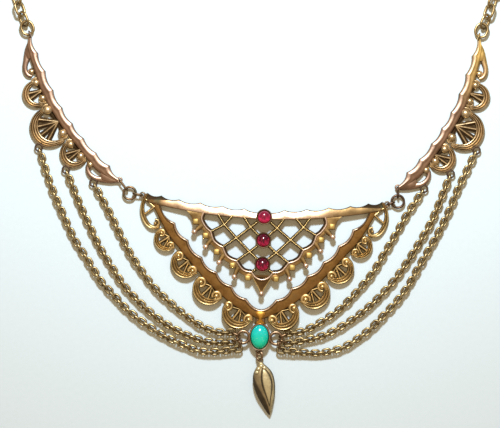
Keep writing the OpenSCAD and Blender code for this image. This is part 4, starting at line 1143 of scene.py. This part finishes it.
# a ten-sided eye is this much nearer at its flats
eyeFlat = math.cos(math.radians(18))
chainStyle = {
    "linkLength": 2.66,
    "linkWidth": 1.98,
    "wire": 0.58,
    "pitch": 1.379,  # at most this, or neighbouring links run into each other
    "lay": 1.01,
    "looseness": 0.2,
    "endReach": 2.0,
    "endWire": 0.5,
    "endSlack": 0.14,
    # radius of a ring or loop at its flats, less half its wire, the gap and half the end link's wire
    "ringHold": 1.5 * eyeFlat - 0.2 - 0.12 - 0.25,
    "sideHold": 0.85 * eyeFlat - 0.2 - 0.12 - 0.25,
    "leaveLeft": (246, 202, 158),
    "leaveRight": (-66, -22, 22),
    "routes": {
        "left_outer": [(-49, -33.8), (-46.6, -39.6), (-43.4, -46.6), (-40.3, -51.5), (-36.9, -56.9), (-33.6, -60.5),
                       (-30.4, -63.9), (-26.7, -66.8), (-22.4, -69.6), (-17.9, -71.8), (-12, -73.8)],
        "left_middle": [(-41.7, -39.2), (-39.5, -44), (-37.2, -48.8), (-34.5, -53.2), (-31.5, -57.8), (-28, -61.6),
                        (-24.1, -65.1), (-20.2, -67.8), (-15.5, -70.1), (-10.9, -71.4)],
        "left_inner": [(-34.9, -40.4), (-32.6, -45.1), (-30.1, -49.9), (-27.3, -54.2), (-24.2, -58.3), (-20.5, -61.8),
                       (-16.5, -65.1), (-12.6, -67.7), (-8.8, -69)],
        "right_outer": [(48.7, -34.8), (46.8, -39.5), (44.5, -44.3), (41.9, -49), (39.2, -53.6), (37, -57.6),
                        (34.5, -61.1), (31, -64.9), (27.2, -68.7), (22.2, -72.2), (18.6, -73.5), (14.4, -74.1)],
        "right_middle": [(42.6, -42), (39.9, -46.8), (37.2, -51.2), (34, -55.9), (30.6, -59.8), (26.6, -63.6),
                         (22.2, -66.8), (17.8, -69.3), (13.8, -70.6)],
        "right_inner": [(36.4, -41), (33.9, -45.4), (31, -50.3), (28.1, -55), (24.6, -59.2), (20.7, -63.2),
                        (16.2, -66.4), (11.8, -68.7)],
    },
}


def buildLinkChain(look):
    # oval links on a path, each turned a quarter round from the last, with a slight looseness
    tree, given = newGroup("linkChain", "GeometryNodeTree",
                           {"Geometry": ["Path"], "Int": ("Links", "Seed"), "Vector": ["Dark Place"],
                            "Float": ("Link Length", "Link Width", "Wire", "Looseness")},
                           {"Geometry": ["Geometry"]})
    spaced = addNode(tree, "GeometryNodeResampleCurve", {"Curve": given["Path"], "Count": given["Links"]})
    points = addNode(tree, "GeometryNodeCurveToPoints", {"Curve": spaced.outputs["Curve"]}, mode="EVALUATED").outputs
    # one link: a circle pulled out to an oval, with a round wire on it
    bend = times(tree, mathNode(tree, "SUBTRACT", given["Link Width"], given["Wire"]), 0.5)
    pull = times(tree, mathNode(tree, "SUBTRACT", given["Link Length"], given["Link Width"]), 0.5)
    loop = addNode(tree, "GeometryNodeCurvePrimitiveCircle", {"Resolution": 14, "Radius": bend})
    snapped = mathNode(tree, "SNAP", axisOf(tree, pointPlace(tree), "X"), 0.00005)
    shift = addNode(tree, "ShaderNodeCombineXYZ", {"X": times(tree, mathNode(tree, "SIGN", snapped), pull)})
    oval = addNode(tree, "GeometryNodeSetPosition", {"Geometry": loop.outputs["Curve"], "Offset": shift.outputs[0]})
    section = addNode(tree, "GeometryNodeCurvePrimitiveCircle",
                      {"Resolution": 6, "Radius": times(tree, given["Wire"], 0.5)})
    link = addNode(tree, "GeometryNodeCurveToMesh",
                   {"Curve": oval.outputs["Geometry"], "Profile Curve": section.outputs["Curve"]})
    # along the path, then a quarter turn for every second link and a little play
    aim = addNode(tree, "FunctionNodeAlignRotationToVector", {"Vector": points["Tangent"]}, axis="X", pivot_axis="Z")
    number = addNode(tree, "GeometryNodeInputIndex").outputs[0]
    quarter = times(tree, mathNode(tree, "MODULO", number, 2), math.pi / 2)
    play = randomFloat(tree, times(tree, given["Looseness"], -1), given["Looseness"], given["Seed"])
    rolled = addNode(tree, "FunctionNodeAxisAngleToRotation",
                     {"Axis": (1, 0, 0), "Angle": mathNode(tree, "ADD", quarter, play)})
    turned = addNode(tree, "FunctionNodeRotateRotation", {0: aim.outputs[0], 1: rolled.outputs[0]},
                     rotation_space="LOCAL")
    placed = addNode(tree, "GeometryNodeInstanceOnPoints",
                     {"Points": points["Points"], "Instance": link.outputs["Mesh"], "Rotation": turned.outputs[0]})
    # the links are darker near the blue stone, where the chains meet
    away = addNode(tree, "ShaderNodeVectorMath", {0: pointPlace(tree), 1: given["Dark Place"]}, operation="DISTANCE")
    darkNearStone = spread(tree, away.outputs["Value"], 0.004, 0.016, 0.7, 0.0, "LINEAR")
    return lastSteps(tree, storeFloat(tree, placed.outputs["Instances"], "patina", darkNearStone, "INSTANCE"), look)


def makeChains():
    style, setting = chainStyle, settingStyle
    tree, lay = buildLinkChain("chainBrass"), style["lay"]
    # the first link of the row sits this far past the wire of the fixed end link
    past = (style["linkLength"] - style["wire"]) / 2 - (style["wire"] + style["endWire"]) / 2 - style["endSlack"]
    for n, (name, route) in enumerate(style["routes"].items()):
        left, level = name.startswith("left"), ("outer", "middle", "inner").index(name.split("_")[1])
        loop = (onSideLeft if left else onSideRight)(sideStyle["loops"][level] + (0,)) / mm
        away = Vector((route[0][0] - loop.x, route[0][1] - loop.y)).normalized()
        start = loop.xy + away * (style["sideHold"] + style["endReach"] + past)
        x, y = setting["ringReach"] * (-1 if left else 1), setting["blue"][1] - setting["ringDrop"]
        ring = onPlaque((x, y, setting["ringHeight"])) / mm
        leave = math.radians((style["leaveLeft"] if left else style["leaveRight"])[level])
        away = Vector((math.cos(leave), math.sin(leave)))
        end = ring.xy + away * (style["ringHold"] + style["endReach"] + past)
        rows = [(start.x, start.y, lay)] + [p + (lay,) for p in route] + [(end.x, end.y, ring.z - 0.32)]
        path = [(p[0], p[1], max(p[2], lay)) for p in smoothRows(rows, 6)]
        long = sum(math.dist(a, b) for a, b in zip(path, path[1:]))
        links = 2 * math.ceil(long / style["pitch"] / 2) + 1
        runNodes("chain_" + name, tree, [[tuple(v * mm for v in p) for p in path]],
                 {"Links": links, "Link Length": style["linkLength"] * mm, "Link Width": style["linkWidth"] * mm,
                  "Wire": style["wire"] * mm, "Looseness": style["looseness"],
                  "Dark Place": tuple(onPlaque(setting["blue"] + (0,))), "Seed": 7 + n}, "swag_" + name)
        print("  links", links, "pitch", round(long / (links - 1), 3))


# stones

stoneStyle = {
    "blueHeight": 1.9,
    "blueSeat": 0.62,
    "redSeat": 1.47,
    "redGlow": (1.6, 0.8, 0.7),
    # the blue stone's greener lower part, as Y in metres
    "greenFrom": -0.0728,
    "greenTo": -0.0672,
}


def turquoiseLook(name):
    tree = newLook(name)
    where = objectPlace(tree)
    cloud, fleck = noiseNode(tree, where, 700, 4, 0.6), noiseNode(tree, where, 2400, 3, 0.6)
    low = spread(tree, axisOf(tree, where, "Y"), stoneStyle["greenFrom"], stoneStyle["greenTo"], 1, 0)
    colour = mixColour(tree, low, (0.0, 0.56, 0.58), (0.0, 0.72, 0.4))
    colour = mixColour(tree, spread(tree, cloud, 0.45, 0.75, 0, 0.5), colour, (0.02, 0.82, 0.62))
    colour = mixColour(tree, spread(tree, fleck, 0.58, 0.72, 0, 0.5), colour, (0.4, 0.62, 0.52))
    feedSurface(tree, {"Base Color": colour, "Roughness": 0.17, "IOR": 1.6, "Coat Weight": 0.4,
                       "Coat Roughness": 0.13, "Normal": bumpNode(tree, fleck, 0.06, 0.02)})


def makeBlueStone():
    # a smooth oval cabochon
    style, stone = stoneStyle, startPiece()
    bx, by = settingStyle["blue"]
    base = lift(0) + style["blueSeat"]

    def place(p):
        flat = onPlaque((bx + p[0], by + p[1], 0))
        return Vector((flat.x, flat.y, (base + p[2]) * mm))

    rows = [(0.94, 0), (0.99, 0.06), (1, 0.16)]
    rows += [(math.cos(a) ** 0.9, 0.16 + 0.84 * math.sin(a)) for a in [math.pi / 2 * k / 14 for k in range(1, 14)]]
    rows = [(r, style["blueHeight"] * up, 0, 0) for r, up in rows + [(0, 1)]]
    made = addTurned(stone, place, (0, 0, 0), rows, 48, settingStyle["blueHalf"])
    stone.faces.new(made[0])
    turquoiseLook("turquoiseStone")
    finishPiece(stone, "blue_cabochon", ["turquoiseStone"], "blue_stone")


def rubyLook(name, centre, glow):
    # red glass, as if foiled: a dark heart, with painted light gathered at the lower side and the rim, brighter all
    # over for a glow above one
    tree = newLook(name)
    local = addNode(tree, "ShaderNodeMapping",
                    {"Vector": objectPlace(tree), "Location": tuple(-v * 1000 for v in centre),
                     "Scale": (1000, 1000, 1000)}).outputs[0]
    flat = addNode(tree, "ShaderNodeVectorMath", {0: local, 1: (1, 1, 0)}, operation="MULTIPLY").outputs[0]
    length = addNode(tree, "ShaderNodeVectorMath", {0: flat}, operation="LENGTH").outputs["Value"]
    cells = addNode(tree, "ShaderNodeTexVoronoi", {"Vector": flat, "Scale": 2.2})
    facet = addNode(tree, "ShaderNodeSeparateColor", {0: cells.outputs["Color"]}).outputs
    low, rim = spread(tree, axisOf(tree, local, "Y"), -1.3, 0.35, 1, 0), spread(tree, length, 0.35, 1.25)
    light = times(tree, low, rim, spread(tree, facet[0], 0.1, 0.8, 0.45, 1.3), glow)
    light = mathNode(tree, "ADD", light, max(glow - 1, 0) * 0.25, clamp=True)
    heart = mixColour(tree, spread(tree, facet[1], 0.2, 0.9), (0.07, 0.001, 0.012), (0.3, 0.004, 0.035))
    feedSurface(tree, {"Base Color": mixColour(tree, light, heart, (0.95, 0.04, 0.16)), "Roughness": 0.2, "IOR": 1.5,
                       "Coat Weight": 0.25, "Coat Roughness": 0.06})


# finishes of the parts that come from the source as they are

dressStyle = {
    "neckBrass": ["neck_chain_left", "neck_chain_right", "top_ring_left", "top_ring_right", "clasp"],
    "linkBrass": ["side_link_left", "jump_ring_left", "corner_link_left", "swag_links_left_ring",
                  "swag_links_right_ring"],
    "darkLinks": ["side_link_right", "jump_ring_right", "corner_link_right"],
    "chainBrass": ["swag_links_left_side", "swag_links_right_side"],
}


def dress(name, look):
    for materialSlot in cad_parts[name].material_slots:
        materialSlot.material = bpy.data.materials[look]


def dressParts():
    for look, names in dressStyle.items():
        for name in names:
            dress(name, look)
    for level, p, glow in zip(("top", "middle", "bottom"), settingStyle["red"], stoneStyle["redGlow"]):
        name = "red_stone_" + level
        rubyLook(name + "_glass", onPlaque(p + (stoneStyle["redSeat"],)), glow)
        dress(name, name + "_glass")
    print("parts dressed")


# table, light and camera

studioStyle = {
    "paperHalf": 0.8,
    "paperLow": -0.00003,
    "keyAt": (0.004, 0.115, 0.2),
    "keyAim": (0.0, -0.04, 0.0),
    "keySize": 0.035,
    "keyPower": 0.8,
    "keyColour": (0.93, 0.98, 1.0),
    "zenith": (0.47, 0.36, 0.24),
    "horizon": (0.1, 0.075, 0.045),
    "paperGlow": (0.12, 0.075, 0.025),
    "cameraAt": (-0.0012, -0.0407, 0.55),
    "sensor": 36,
    # the picture is this wide at this height
    "viewWidth": 0.12,
    "viewHeight": 0.0015,
}


def addObject(name, data):
    thing = bpy.data.objects.new(name, data)
    bpy.context.collection.objects.link(thing)
    return thing


def makeStudio():
    style, scene = studioStyle, bpy.context.scene
    mesh = bpy.data.meshes.new("paper")
    corners = [p + (style["paperLow"],) for p in squareAt((0, 0), style["paperHalf"])]
    mesh.from_pydata(corners, [], [(0, 1, 2, 3)])
    tree = newLook("palePaper")
    fibre = noiseNode(tree, objectPlace(tree), 900, 4, 0.6)
    # light that soaks through the paper warms the shadows
    feedSurface(tree, {"Base Color": mixColour(tree, fibre, (0.62, 0.77, 0.88), (0.67, 0.82, 0.94)), "Roughness": 0.8,
                       "Emission Color": style["paperGlow"], "Emission Strength": 1.0,
                       "Normal": bumpNode(tree, fibre, 0.1, 0.05)})
    mesh.materials.append(bpy.data.materials["palePaper"])
    addObject("paper", mesh)
    # one soft lamp from above the top of the picture
    lamp = bpy.data.lights.new("key", "AREA")
    lamp.shape, lamp.size = "DISK", style["keySize"]
    lamp.energy, lamp.color = style["keyPower"], style["keyColour"]
    key = addObject("key", lamp)
    key.location = style["keyAt"]
    key.rotation_euler = (Vector(style["keyAim"]) - Vector(style["keyAt"])).to_track_quat("-Z", "Y").to_euler()
    # pale room, darker towards the horizon
    world = bpy.data.worlds.new("room")
    scene.world, world.use_nodes = world, True
    tree = world.node_tree
    up = axisOf(tree, addNode(tree, "ShaderNodeTexCoord").outputs["Generated"], "Z")
    feed(tree, tree.nodes["Background"].inputs["Color"],
         mixColour(tree, spread(tree, up, 0.1, 0.95), style["horizon"], style["zenith"]))
    camera = bpy.data.cameras.new("camera")
    camera.sensor_width = style["sensor"]
    camera.lens = style["sensor"] * (style["cameraAt"][2] - style["viewHeight"]) / style["viewWidth"]
    camera.clip_start, camera.clip_end = 0.01, 10
    scene.camera = addObject("camera", camera)
    scene.camera.location = style["cameraAt"]
    scene.view_settings.view_transform = "Standard"
    print("studio set")


makeStudio()
makeFrame()
makeBar()
makeScrolls()
makeTrellis()
makeBeads()
makeSettings()
makeSide("side_left", onSideLeft, "side_piece_left")
makeSide("side_right", onSideRight, "side_piece_right")
makeDrop()
makeChains()
makeBlueStone()
dressParts()
